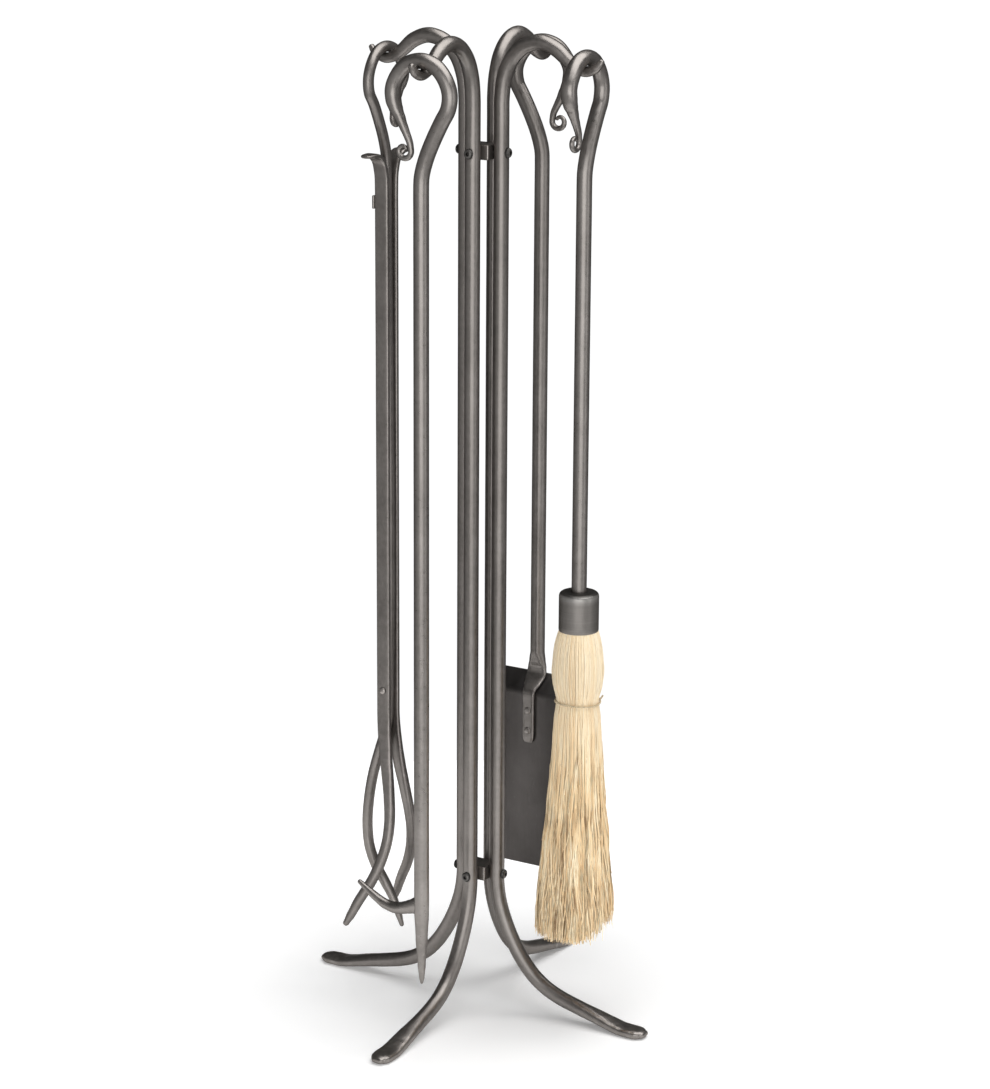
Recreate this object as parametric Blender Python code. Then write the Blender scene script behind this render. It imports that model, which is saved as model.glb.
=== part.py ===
"""Fireplace tool set: a four-legged forged stand with tongs, poker, shovel and broom on its hooks.

Metres, +Z up. The stand's axis is Z and its feet rest on Z = 0. Each leg, hook and tool lies on one
diagonal of the X and Y axes. A tool hangs with its loop square to its hook, across the diagonal.
"""
import math

import bmesh
import bpy
from mathutils import Vector

# ---------------------------------------------------------------- driving dimensions (metres)
GAP = 0.0003                  # gap between pieces that touch

# stand
BAR_R = 0.0062                # radius of the round bar that the stand and three tools are made of
CIRCLE_R = 0.0165             # from the stand's axis to each upright's centre line
FOOT_R = 0.1575               # from the axis to the middle of each foot's rounded end
FOOT_HALF_W = 0.0093          # half width of a hammered foot
FOOT_HALF_T = 0.0038          # half thickness of a hammered foot
HOOK_APEX = (0.0520, 0.8107)  # distance from the axis and height, all along a bar's centre line
HOOK_SEAT = (0.0920, 0.7905)
HOOK_TIP = (0.1074, 0.8017)
HOOK_SEAT_R = 0.0043          # radius of the drawn-out hook where a loop hangs
SPACER_HALF = CIRCLE_R - BAR_R - GAP
SPACER_H = 0.012
LOWER_SPACER_Z = 0.117
UPPER_SPACER_Z = 0.7226

# bolts
BOLT_R = 0.0025
BOLT_HOLE_R = 0.0028
BOLT_HEAD_R = 0.0040
BOLT_HEAD_H = 0.0028
SOCKET_R = 0.0013
SPOT_DEPTH = 0.0007           # flat under each bolt head
SPOT_R = 0.0045

# the loop handle that ends every tool
TOOL_R = HOOK_SEAT[0]         # from the stand's axis to the tools' own plane
LOOP_HALF = 0.0255            # half width of the loop, centre line to centre line
LOOP_FOOT_Z = 0.7020          # where the straight shaft ends and the loop starts
CURL = (-0.0152, 0.7318)      # centre of the little scroll: across, height
CURL_R = 0.0062
TAIL_Z = 0.7385               # where the drawn-out tail turns into the scroll
TAIL_LIFT = 0.0055            # how much higher than the poker's the scrolls of the shovel and the broom sit
TONGS_TAIL_LIFT = 0.0095      # and the scroll of the tongs this much

# poker
POKER_TIP_Z = 0.0475
BARB_Z = 0.1138

# tongs
TONGS_R = 0.0045              # radius of the thinner bar of the tongs
PIVOT_Z = 0.261
ARM_HALF_W = 0.0062
ARM_HALF_T = 0.0020
ARM_T = TONGS_R + GAP + ARM_HALF_T   # from the tongs' plane to each arm's centre
ARM_TOP_Z = 0.7142
PIN_R = 0.0020
STRAP_Z = 0.6745

# shovel
PAN_R = 0.0805                # from the stand's axis to the middle of the pan's sheet
PAN_HALF_W = 0.0445
PAN_TOP_Z = 0.2505
PAN_LIP_Z = 0.0955
PAN_WALL = 0.0018
PAN_BACK_OUT = 0.0155
PAN_BACK_UP = 0.0150
TAB_T = 0.0034
TAB_R = PAN_R - PAN_WALL / 2 - GAP - TAB_T / 2
PAN_RIVETS_Z = (0.2360, 0.2180)
RIVET_R = 0.0020

# broom
FERRULE_TOP_Z = 0.3740
FERRULE_LOW_Z = 0.3415
FERRULE_R = 0.0163
FERRULE_WALL = 0.0015
BROOM_LOW_Z = 0.0800
TIE_Z = 0.2815
TIE_RING_R = 0.0187
TIE_WIRE_R = 0.0011

SIDES = 10                    # sides of a round bar

LEGS = {"front_right": -45.0, "back_right": 45.0, "back_left": 135.0, "front_left": 225.0}


# ---------------------------------------------------------------- materials
def material(name, colour, roughness, metallic):
    mat = bpy.data.materials.new(name)
    mat.use_nodes = True
    shader = mat.node_tree.nodes["Principled BSDF"]
    shader.inputs["Base Color"].default_value = (*colour, 1.0)
    shader.inputs["Roughness"].default_value = roughness
    shader.inputs["Metallic"].default_value = metallic
    mat.diffuse_color = (*colour, 1.0)
    return mat


# ---------------------------------------------------------------- shared helpers
def directions(leg):
    """Outward direction of a leg, and the direction across it, anticlockwise seen from above."""
    angle = math.radians(LEGS[leg])
    out = Vector((math.cos(angle), math.sin(angle), 0.0))
    return out, Vector((-out.y, out.x, 0.0))


def place(leg, radius, across, height):
    out, side = directions(leg)
    return out * radius + side * across + Vector((0.0, 0.0, height))


def finish(name, bm, mat, smooth=True):
    bmesh.ops.remove_doubles(bm, verts=bm.verts, dist=1e-6)
    bmesh.ops.recalc_face_normals(bm, faces=bm.faces)
    mesh = bpy.data.meshes.new(name)
    bm.to_mesh(mesh)
    bm.free()
    for poly in mesh.polygons:
        poly.use_smooth = smooth and len(poly.vertices) == 4
    obj = bpy.data.objects.new(name, mesh)
    obj.data.materials.append(mat)
    bpy.context.scene.collection.objects.link(obj)
    return obj


def apply_modifiers(obj):
    bpy.context.view_layer.objects.active = obj
    for mod in list(obj.modifiers):
        bpy.ops.object.modifier_apply(modifier=mod.name)


def cut(obj, cutter):
    """Take the cutter's volume away from obj, and remove the cutter."""
    cutter.hide_render = True
    cutter.display_type = "WIRE"
    mod = obj.modifiers.new("cut", "BOOLEAN")
    mod.operation = "DIFFERENCE"
    mod.solver = "EXACT"
    mod.object = cutter
    bpy.context.view_layer.update()
    apply_modifiers(obj)
    bpy.data.objects.remove(cutter)


def curve_through(stations, samples=12, turn=25.0):
    """Smooth run through stations (x, y, z, half_width, half_thickness, squareness)."""
    rows = [tuple(s) for s in stations]
    fine = []
    for i in range(len(rows) - 1):
        before = rows[max(i - 1, 0)]
        here = rows[i]
        there = rows[i + 1]
        after = rows[min(i + 2, len(rows) - 1)]
        span = math.dist(here[:3], there[:3])
        back = max(math.dist(before[:3], here[:3]), 1e-9) if i else span
        fore = max(math.dist(there[:3], after[:3]), 1e-9) if i + 2 < len(rows) else span
        for k in range(samples):
            u = k / samples
            point = []
            for c in range(3):
                start = (there[c] - here[c]) / span
                end = start
                if i:
                    start = slope(before[c], here[c], there[c], back, span)
                if i + 2 < len(rows):
                    end = slope(here[c], there[c], after[c], span, fore)
                point.append(hermite(here[c], there[c], start * span, end * span, u))
            ease = u * u * (3.0 - 2.0 * u)
            rest = [here[c] + (there[c] - here[c]) * ease for c in range(3, 6)]
            fine.append((*point, *rest))
    fine.append(rows[-1])
    return thin(fine, turn)


def slope(a, b, c, first, second):
    """Slope at b of a smooth run through a, b and c, which lie the two given distances apart."""
    return ((b - a) / first * second + (c - b) / second * first) / (first + second)


def hermite(a, b, da, db, u):
    """Point at u, from 0 to 1, of a cubic from a to b with the slopes da and db."""
    return ((2 * u ** 3 - 3 * u ** 2 + 1) * a + (u ** 3 - 2 * u ** 2 + u) * da
            + (-2 * u ** 3 + 3 * u ** 2) * b + (u ** 3 - u ** 2) * db)


def thin(rows, turn):
    """Keep the stations that the course and section need, and one for every such turn, in degrees."""
    kept = {0, len(rows) - 1}
    spans = [(0, len(rows) - 1)]
    while spans:
        low, high = spans.pop()
        worst, where = 0.0, None
        for i in range(low + 1, high):
            off = departure(rows[low], rows[high], rows[i])
            if off > worst:
                worst, where = off, i
        if worst > 1.0:
            kept.add(where)
            spans += [(low, where), (where, high)]
    heading = Vector(rows[1][:3]) - Vector(rows[0][:3])
    for i in range(1, len(rows) - 1):
        ahead = Vector(rows[i + 1][:3]) - Vector(rows[i][:3])
        if i in kept:
            heading = ahead
        elif math.degrees(heading.angle(ahead)) >= turn:
            kept.add(i)
            heading = ahead
    return [rows[i] for i in sorted(kept)]


def departure(start, end, row):
    """How far a row is from the straight run between two others, in units of what is allowed."""
    a = Vector(start[:3])
    run = Vector(end[:3]) - a
    part = max(0.0, min(1.0, (Vector(row[:3]) - a).dot(run) / max(run.length_squared, 1e-12)))
    place_off = (a + run * part - Vector(row[:3])).length / 0.00030
    size_off = max(abs(start[c] + (end[c] - start[c]) * part - row[c]) for c in (3, 4)) / 0.0006
    shape_off = abs(start[5] + (end[5] - start[5]) * part - row[5]) / 0.9
    return max(place_off, size_off, shape_off)


def ring(bm, centre, tangent, across, half_w, half_t, squareness, sides, scale=1.0):
    side = (across - tangent * across.dot(tangent)).normalized()
    up = tangent.cross(side).normalized()
    verts = []
    for k in range(sides):
        angle = 2.0 * math.pi * k / sides
        c = math.cos(angle)
        s = math.sin(angle)
        x = math.copysign(abs(c) ** (2.0 / squareness), c) * half_w * scale
        y = math.copysign(abs(s) ** (2.0 / squareness), s) * half_t * scale
        verts.append(bm.verts.new(centre + side * x + up * y))
    return verts


def heading_at(rows, i):
    """Direction of the run at row i; the nearer neighbour counts more."""
    here = Vector(rows[i][:3])
    ahead = Vector(rows[min(i + 1, len(rows) - 1)][:3]) - here
    behind = here - Vector(rows[max(i - 1, 0)][:3])
    if i == 0:
        return ahead.normalized()
    if i == len(rows) - 1:
        return behind.normalized()
    return (behind.normalized() * ahead.length + ahead.normalized() * behind.length).normalized()


def forged(name, stations, across, mat, sides=SIDES, round_start=True, round_end=True, turn=25.0):
    """A bar drawn along the stations, its width kept along the across direction, its ends rounded."""
    rows = curve_through(stations, turn=turn)
    bm = bmesh.new()
    rings = []
    count = len(rows)
    for i, row in enumerate(rows):
        here = Vector(row[:3])
        tangent = heading_at(rows, i)
        if i == 0 and round_start:
            reach = min(row[3], row[4])
            rings.append(ring(bm, here - tangent * reach * 0.8, tangent, across, *row[3:], sides, 0.6))
        rings.append(ring(bm, here, tangent, across, *row[3:], sides))
        if i == count - 1 and round_end:
            reach = min(row[3], row[4])
            rings.append(ring(bm, here + tangent * reach * 0.8, tangent, across, *row[3:], sides, 0.6))
    for low, high in zip(rings[:-1], rings[1:]):
        for k in range(sides):
            j = (k + 1) % sides
            bm.faces.new((low[k], low[j], high[j], high[k]))
    bm.faces.new(list(reversed(rings[0])))
    bm.faces.new(rings[-1])
    return finish(name, bm, mat)


def turned(name, profile, origin, axis, mat, steps=24):
    """A turned piece: profile is (radius, distance along the axis), spun once round the axis."""
    axis = axis.normalized()
    helper = Vector((0.0, 0.0, 1.0)) if abs(axis.z) < 0.9 else Vector((1.0, 0.0, 0.0))
    radial = axis.cross(helper).normalized()
    bm = bmesh.new()
    verts = [bm.verts.new(origin + radial * r + axis * d) for r, d in profile]
    edges = [bm.edges.new((a, b)) for a, b in zip(verts[:-1], verts[1:])]
    if profile[0][0] > 0.0:
        edges.append(bm.edges.new((verts[-1], verts[0])))
    bmesh.ops.spin(bm, geom=verts + edges, cent=origin, axis=axis, dvec=(0.0, 0.0, 0.0),
                   angle=2.0 * math.pi, steps=steps, use_merge=True, use_duplicate=False)
    return finish(name, bm, mat)


def drill(obj, origin, axis, radius, length, steps=12):
    """Drill a round hole, from the origin along the axis."""
    profile = [(0.0, 0.0), (radius, 0.0), (radius, length), (0.0, length)]
    tool = turned("drill", profile, origin, axis, obj.data.materials[0], steps)
    cut(obj, tool)


# ---------------------------------------------------------------- stand
def upright(leg, mat):
    """One bar, bent into a hammered foot, a leg, a straight upright and a hook."""
    r = BAR_R
    seat_r = HOOK_SEAT_R
    rest = 0.0004             # the sole is this much lower than the plane it is levelled to
    low = FOOT_HALF_T - rest
    path = [
        (FOOT_R, low, FOOT_HALF_W * 0.80, FOOT_HALF_T * 0.9, 3.2),
        (FOOT_R - 0.006, low, FOOT_HALF_W, FOOT_HALF_T, 4.0),
        (0.1400, low + 0.0002, FOOT_HALF_W, FOOT_HALF_T, 4.0),
        (0.1300, 0.0054, FOOT_HALF_W * 0.95, 0.0042, 3.2),
        (0.1180, 0.0084, 0.0082, 0.0048, 2.6),
        (0.1050, 0.0113, 0.0071, 0.0055, 2.2),
        (0.0920, 0.0144, 0.0064, 0.0060, 2.0),
        (0.0780, 0.0183, r, r, 2.0),
        (0.0660, 0.0233, r, r, 2.0),
        (0.0540, 0.0314, r, r, 2.0),
        (0.0430, 0.0430, r, r, 2.0),
        (0.0330, 0.0580, r, r, 2.0),
        (0.0245, 0.0755, r, r, 2.0),
        (0.0190, 0.0920, r, r, 2.0),
        (CIRCLE_R, 0.1085, r, r, 2.0),
        (CIRCLE_R, 0.1250, r, r, 2.0),
        (CIRCLE_R, 0.7500, r, r, 2.0),
        (CIRCLE_R, 0.7640, r, r, 2.0),
        (0.0190, 0.7820, r, r, 2.0),
        (0.0255, 0.7965, r, r, 2.0),
        (0.0370, 0.8070, r, r, 2.0),
        (HOOK_APEX[0], HOOK_APEX[1], r, r, 2.0),
        (0.0650, 0.8065, r * 0.97, r * 0.97, 2.0),
        (0.0768, 0.7973, r * 0.88, r * 0.88, 2.0),
        (0.0848, 0.7920, seat_r, seat_r, 2.0),
        (HOOK_SEAT[0], HOOK_SEAT[1], seat_r, seat_r, 2.0),
        (0.0992, 0.7924, seat_r * 0.85, seat_r * 0.85, 2.2),
        (0.1047, 0.7970, seat_r * 0.64, seat_r * 0.64, 2.4),
        (HOOK_TIP[0], HOOK_TIP[1], seat_r * 0.50, seat_r * 0.50, 2.6),
    ]
    stations = [(*place(leg, p[0], 0.0, p[1]), *p[2:]) for p in path]
    out, side = directions(leg)
    obj = forged("upright_" + leg, stations, side, mat)
    level_sole(obj)
    for height in (LOWER_SPACER_Z, UPPER_SPACER_Z):
        start = place(leg, CIRCLE_R - BAR_R - 0.004, 0.0, height)
        drill(obj, start, out, BOLT_HOLE_R, 2.0 * BAR_R + 0.008)
        seat = place(leg, CIRCLE_R + BAR_R - SPOT_DEPTH, 0.0, height)
        drill(obj, seat, out, SPOT_R, 0.004)
    return obj


def level_sole(obj):
    """Level the underside of the foot, so that it rests flat on Z = 0."""
    bm = bmesh.new()
    bm.from_mesh(obj.data)
    geom = bm.verts[:] + bm.edges[:] + bm.faces[:]
    res = bmesh.ops.bisect_plane(bm, geom=geom, dist=1e-7, plane_co=(0, 0, 0), plane_no=(0, 0, 1),
                                 clear_inner=True)
    rim = [e for e in res["geom_cut"] if isinstance(e, bmesh.types.BMEdge)]
    bmesh.ops.holes_fill(bm, edges=rim)
    bmesh.ops.recalc_face_normals(bm, faces=bm.faces)
    bm.to_mesh(obj.data)
    bm.free()


def spacer(name, height, mat):
    """Square block between the four uprights, its faces square to the diagonals."""
    bm = bmesh.new()
    bmesh.ops.create_cube(bm, size=1.0)
    bmesh.ops.scale(bm, vec=(2 * SPACER_HALF, 2 * SPACER_HALF, SPACER_H), verts=bm.verts)
    bmesh.ops.bevel(bm, geom=bm.edges[:], offset=0.0006, segments=1, affect="EDGES", profile=0.5)
    turn = math.radians(45.0)
    for vert in bm.verts:
        x, y = vert.co.x, vert.co.y
        vert.co.x = x * math.cos(turn) - y * math.sin(turn)
        vert.co.y = x * math.sin(turn) + y * math.cos(turn)
        vert.co.z += height
    obj = finish(name, bm, mat, smooth=False)
    for leg in LEGS:
        out, side = directions(leg)
        drill(obj, out * 0.0045 + Vector((0, 0, height)), out, BOLT_HOLE_R, SPACER_HALF)
    return obj


def bolt(leg, level, height, mat):
    """Button-head socket screw through one upright into a spacer."""
    out, side = directions(leg)
    under = CIRCLE_R + BAR_R - SPOT_DEPTH + GAP
    start = 0.0050
    shank = under - start
    profile = [
        (0.0, 0.0),
        (BOLT_R - 0.0005, 0.0),
        (BOLT_R, 0.0005),
        (BOLT_R, shank),
        (BOLT_HEAD_R, shank),
        (BOLT_HEAD_R, shank + 0.0007),
        (BOLT_HEAD_R * 0.72, shank + 0.0023),
        (BOLT_HEAD_R * 0.45, shank + BOLT_HEAD_H),
        (SOCKET_R, shank + BOLT_HEAD_H),
        (SOCKET_R, shank + 0.0009),
        (0.0, shank + 0.0009),
    ]
    origin = out * start + Vector((0.0, 0.0, height))
    return turned("bolt_" + level + "_" + leg, profile, origin, out, mat, 10)


# ---------------------------------------------------------------- loop handle
def handle(leg, top_z, r, lift=0.0):
    """Stations of the loop, from the end of the shaft, over the hook, to the scroll at the free end."""
    w = LOOP_HALF
    crown = top_z - 0.0120
    drop = crown - TAIL_Z - lift
    path = [
        (0.0004, LOOP_FOOT_Z + 0.010, r, r, 2.0),
        (0.0040, LOOP_FOOT_Z + 0.0235, r, r, 2.0),
        (0.0110, LOOP_FOOT_Z + 0.0395, r, r, 2.0),
        (0.0190, LOOP_FOOT_Z + 0.0545, r, r, 2.0),
        (w - 0.0012, top_z - 0.0355, r, r, 2.0),
        (w + 0.0002, top_z - 0.0240, r, r, 2.0),
        (w - 0.0045, top_z - 0.0120, r, r, 2.0),
        (w * 0.48, top_z - 0.0032, r, r, 2.0),
        (0.0, top_z, r, r, 2.0),
        (-w * 0.48, top_z - 0.0032, r, r, 2.0),
        (-w + 0.0045, crown, r * 1.02, r * 0.98, 2.1),
        (-w - 0.0002, crown - drop * 0.226, r * 1.03, r * 0.98, 2.2),
        (-w + 0.0004, crown - drop * 0.374, r * 1.02, r * 0.92, 2.3),
        (-w + 0.0026, crown - drop * 0.502, r * 0.92, r * 0.80, 2.3),
        (-w + 0.0056, crown - drop * 0.610, r * 0.74, r * 0.66, 2.2),
        (-0.0160, crown - drop * 0.764, 0.0037, 0.0033, 2.1),
        (-0.0128, crown - drop * 0.892, 0.0032, 0.0029, 2.0),
        (-0.0104, crown - drop, 0.0028, 0.0027, 2.0),
    ]
    cx = CURL[0]
    cz = CURL[1] + lift
    turns = [(20, 1.00, 0.0025), (-10, 1.00, 0.0024), (-45, 0.98, 0.0024), (-90, 0.94, 0.0023),
             (-135, 0.90, 0.0022), (-180, 0.84, 0.0021), (-225, 0.73, 0.0018), (-270, 0.57, 0.0016),
             (-305, 0.42, 0.0014)]
    for degrees, part, wire in turns:
        angle = math.radians(degrees)
        reach = CURL_R * part
        path.append((cx + reach * math.cos(angle), cz + reach * math.sin(angle), wire, wire, 2.0))
    return [(*place(leg, TOOL_R, p[0], p[1]), *p[2:]) for p in path]


def loop_top(r):
    """Height of a loop's centre line where it lies on the hook."""
    return HOOK_SEAT[1] + HOOK_SEAT_R + GAP + r


def shaft(leg, rows):
    """Stations on the straight shaft: rows are (height, half_width, half_thickness, squareness)."""
    return [(*place(leg, TOOL_R, 0.0, z), a, b, n) for z, a, b, n in rows]


# ---------------------------------------------------------------- poker
def poker(mat):
    leg = "front_left"
    out, side = directions(leg)
    r = BAR_R
    rows = shaft(leg, [
        (POKER_TIP_Z, 0.0013, 0.0013, 2.0),
        (POKER_TIP_Z + 0.004, 0.0022, 0.0022, 2.0),
        (POKER_TIP_Z + 0.016, 0.0033, 0.0033, 2.0),
        (POKER_TIP_Z + 0.040, 0.0049, 0.0049, 2.0),
        (POKER_TIP_Z + 0.062, 0.0059, 0.0059, 2.0),
        (POKER_TIP_Z + 0.080, r, r, 2.0),
        (LOOP_FOOT_Z - 0.010, r, r, 2.0),
        (LOOP_FOOT_Z, r, r, 2.0),
    ])
    forged("poker_rod", rows + handle(leg, loop_top(r), r), out, mat)
    path = [
        (-0.0005, BARB_Z, 0.0052, 0.0076, 2.2),
        (-0.0065, BARB_Z - 0.0010, 0.0050, 0.0064, 2.1),
        (-0.0140, BARB_Z - 0.0034, 0.0049, 0.0054, 2.0),
        (-0.0240, BARB_Z - 0.0060, 0.0047, 0.0049, 2.0),
        (-0.0340, BARB_Z - 0.0052, 0.0042, 0.0043, 2.0),
        (-0.0455, BARB_Z + 0.0000, 0.0034, 0.0035, 2.0),
        (-0.0545, BARB_Z + 0.0056, 0.0026, 0.0026, 2.0),
        (-0.0605, BARB_Z + 0.0094, 0.0018, 0.0018, 2.0),
    ]
    stations = [(*place(leg, TOOL_R, p[0], p[1]), *p[2:]) for p in path]
    barb = forged("poker_barb", stations, out, mat)
    drill(barb, place(leg, TOOL_R, 0.0, BARB_Z - 0.02), Vector((0, 0, 1)), r + GAP, 0.04, 20)


# ---------------------------------------------------------------- tongs
def tongs(mat, arm_mat):
    leg = "back_left"
    out, side = directions(leg)
    r = TONGS_R
    claw = [(0.0500, -0.0128, 0.0020), (0.0585, -0.0098, 0.0029), (0.0730, -0.0038, 0.0038),
            (0.0860, 0.0044, 0.0043), (0.1000, 0.0138, r), (0.1150, 0.0198, r), (0.1330, 0.0219, r),
            (0.1560, 0.0205, r), (0.1790, 0.0165, r), (0.2030, 0.0095, r), (0.2200, 0.0040, r),
            (0.2360, 0.0004, r), (0.2480, 0.0, r)]
    rows = [(*place(leg, TOOL_R + o, 0.0, z), a, a, 2.0) for z, o, a in claw]
    rows += shaft(leg, [(LOOP_FOOT_Z - 0.010, r, r, 2.0), (LOOP_FOOT_Z, r, r, 2.0)])
    rod = forged("tongs_rod", rows + handle(leg, loop_top(r), r, TONGS_TAIL_LIFT), out, mat)
    drill(rod, place(leg, TOOL_R, -0.012, PIVOT_Z), side, PIN_R + GAP, 0.024)
    for name, sign in (("tongs_arm_front", 1.0), ("tongs_arm_back", -1.0)):
        arm = tongs_arm(name, leg, sign, arm_mat)
        drill(arm, place(leg, TOOL_R, sign * 0.002, PIVOT_Z), side * sign, PIN_R + GAP, 0.012)
    tongs_pin(leg, arm_mat)
    tongs_strap(leg, arm_mat)


def tongs_arm(name, leg, sign, mat):
    """Flat bar with a thumb rest at its top and a rounded claw at its foot."""
    out, side = directions(leg)
    w = ARM_HALF_W
    t = ARM_HALF_T
    rows = [
        (0.0185, 0.0390, 0.0580, 0.0027, 0.0027, 2.0),
        (0.0150, 0.0365, 0.0655, 0.0038, 0.0036, 2.0),
        (0.0092, 0.0335, 0.0780, 0.0043, 0.0040, 2.0),
        (-0.0005, 0.0285, 0.0960, 0.0046, 0.0042, 2.0),
        (-0.0072, 0.0236, 0.1140, 0.0046, 0.0042, 2.1),
        (-0.0107, 0.0190, 0.1320, 0.0046, 0.0041, 2.2),
        (-0.0108, 0.0154, 0.1490, 0.0046, 0.0040, 2.4),
        (-0.0086, 0.0125, 0.1680, 0.0048, 0.0037, 2.7),
        (-0.0046, 0.0096, 0.1930, 0.0054, 0.0031, 3.2),
        (-0.0014, 0.0078, 0.2170, 0.0060, 0.0024, 4.0),
        (0.0, ARM_T, 0.2380, w, t, 5.0),
        (0.0, ARM_T, 0.2520, w, t, 5.0),
        (0.0, ARM_T, ARM_TOP_Z - 0.040, w, t, 5.0),
        (0.0, ARM_T, ARM_TOP_Z - 0.030, w, t, 5.0),
        (0.0, ARM_T + 0.0011, ARM_TOP_Z - 0.0150, w, t, 5.0),
        (0.0, ARM_T + 0.0052, ARM_TOP_Z - 0.0048, w, t, 5.0),
        (0.0, ARM_T + 0.0120, ARM_TOP_Z - 0.0004, w, t * 0.95, 5.0),
        (0.0, ARM_T + 0.0190, ARM_TOP_Z, w * 0.98, t * 0.9, 5.0),
        (0.0, ARM_T + 0.0235, ARM_TOP_Z, w * 0.86, t * 0.9, 4.0),
    ]
    stations = [(*place(leg, TOOL_R + o, sign * s, z), a, b, n) for o, s, z, a, b, n in rows]
    return forged(name, stations, out, mat)


def tongs_pin(leg, mat):
    """Rivet that both arms and the rod turn on."""
    out, side = directions(leg)
    face = ARM_T + ARM_HALF_T + GAP
    head = [(0.0040, 0.0), (0.0040, 0.0004), (0.0034, 0.0014), (0.0020, 0.0021), (0.0, 0.0023)]
    profile = [(rr, -face - d) for rr, d in reversed(head)]
    profile += [(PIN_R, -face), (PIN_R, face)]
    profile += [(rr, face + d) for rr, d in head]
    turned("tongs_pivot_pin", profile, place(leg, TOOL_R, 0.0, PIVOT_Z), side, mat, 12)


def tongs_strap(leg, mat):
    """Short strap across the outer edges of the two arms."""
    out, side = directions(leg)
    near = TOOL_R + ARM_HALF_W + GAP
    half = ARM_T + ARM_HALF_T
    bm = bmesh.new()
    bmesh.ops.create_cube(bm, size=1.0)
    bmesh.ops.scale(bm, vec=(0.0022, 2 * half, 0.011), verts=bm.verts)
    bmesh.ops.bevel(bm, geom=bm.edges[:], offset=0.0006, segments=1, affect="EDGES", profile=0.5)
    centre = place(leg, near + 0.0011, 0.0, STRAP_Z)
    for vert in bm.verts:
        vert.co = centre + out * vert.co.x + side * vert.co.y + Vector((0, 0, vert.co.z))
    finish("tongs_strap", bm, mat, smooth=False)


# ---------------------------------------------------------------- shovel
def shovel(mat, pan_mat):
    leg = "back_right"
    out, side = directions(leg)
    r = BAR_R
    t = TAB_T / 2
    low = TAB_R
    path = [
        (low, 0.2085, 0.0046, t, 4.0),
        (low, 0.2130, 0.0053, t, 4.5),
        (low, 0.2440, 0.0054, t, 4.5),
        (low - 0.0001, 0.2490, 0.0055, t, 4.5),
        (low + 0.0001, 0.2518, 0.0057, t, 4.5),
        (low + 0.0020, 0.2541, 0.0061, t, 4.5),
        (low + 0.0066, 0.2584, 0.0078, t, 4.2),
        (low + 0.0108, 0.2624, 0.0090, t, 3.8),
        (low + 0.0134, 0.2660, 0.0093, t * 1.05, 3.6),
        (TOOL_R - 0.0001, 0.2712, 0.0088, t * 1.3, 3.2),
        (TOOL_R, 0.2775, 0.0073, 0.0045, 2.4),
        (TOOL_R, 0.2850, r, r, 2.0),
        (TOOL_R, 0.2950, r, r, 2.0),
        (TOOL_R, LOOP_FOOT_Z - 0.010, r, r, 2.0),
        (TOOL_R, LOOP_FOOT_Z, r, r, 2.0),
    ]
    rows = [(*place(leg, radius, 0.0, z), thick, wide, n) for radius, z, wide, thick, n in path]
    rod = forged("shovel_rod", rows + handle(leg, loop_top(r), r, TAIL_LIFT), out, mat)
    pan = shovel_pan(leg, pan_mat)
    for i, height in enumerate(PAN_RIVETS_Z):
        start = place(leg, TAB_R - 0.006, 0.0, height)
        drill(rod, start, out, RIVET_R + GAP, 0.014)
        drill(pan, start, out, RIVET_R + GAP, 0.014)
        shovel_rivet(leg, i, height, mat)


def shovel_pan(leg, mat):
    """Folded sheet: flat bottom, sloping back, and side walls that run out towards the lip."""
    w = PAN_HALF_W
    t = PAN_WALL / 2
    top = PAN_TOP_Z
    lip = PAN_LIP_Z
    rim_r = PAN_R + PAN_BACK_OUT
    rim_z = top + PAN_BACK_UP
    rows = {
        "sheet_top": (PAN_R, top),
        "sheet_lip": (PAN_R, lip),
        "rim": (rim_r, rim_z),
        "wall_lip": (PAN_R + 0.0035, lip + 0.020),
        "wall_top": (rim_r + 0.0050, top - 0.004),
    }
    bm = bmesh.new()

    def corner(key, across):
        return bm.verts.new(place(leg, rows[key][0], across, rows[key][1]))

    left = {key: corner(key, w) for key in rows}
    right = {key: corner(key, -w) for key in rows}
    bm.faces.new((left["sheet_lip"], right["sheet_lip"], right["sheet_top"], left["sheet_top"]))
    bm.faces.new((left["sheet_top"], right["sheet_top"], right["rim"], left["rim"]))
    for edge in (left, right):
        bm.faces.new([edge[key] for key in ("sheet_lip", "sheet_top", "rim", "wall_top", "wall_lip")])
    bmesh.ops.recalc_face_normals(bm, faces=bm.faces)
    bmesh.ops.triangulate(bm, faces=bm.faces)
    obj = finish("shovel_pan", bm, mat, smooth=False)
    mod = obj.modifiers.new("sheet", "SOLIDIFY")
    mod.thickness = 2 * t
    mod.offset = 0.0
    mod.use_even_offset = True
    mod.use_quality_normals = True
    bpy.context.view_layer.update()
    apply_modifiers(obj)
    return obj


def shovel_rivet(leg, index, height, mat):
    """Rivet through the tab and the pan's sheet."""
    out, side = directions(leg)
    inner = TAB_R - TAB_T / 2 - GAP
    outer = PAN_R + PAN_WALL / 2 + GAP
    head = [(0.0036, 0.0), (0.0034, 0.0006), (0.0024, 0.0014), (0.0, 0.0018)]
    profile = [(rr, inner - d) for rr, d in reversed(head)]
    profile += [(RIVET_R, inner), (RIVET_R, outer)]
    profile += [(rr, outer + d) for rr, d in head]
    turned("shovel_rivet_%d" % (index + 1), profile, Vector((0, 0, height)), out, mat, 10)


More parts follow.
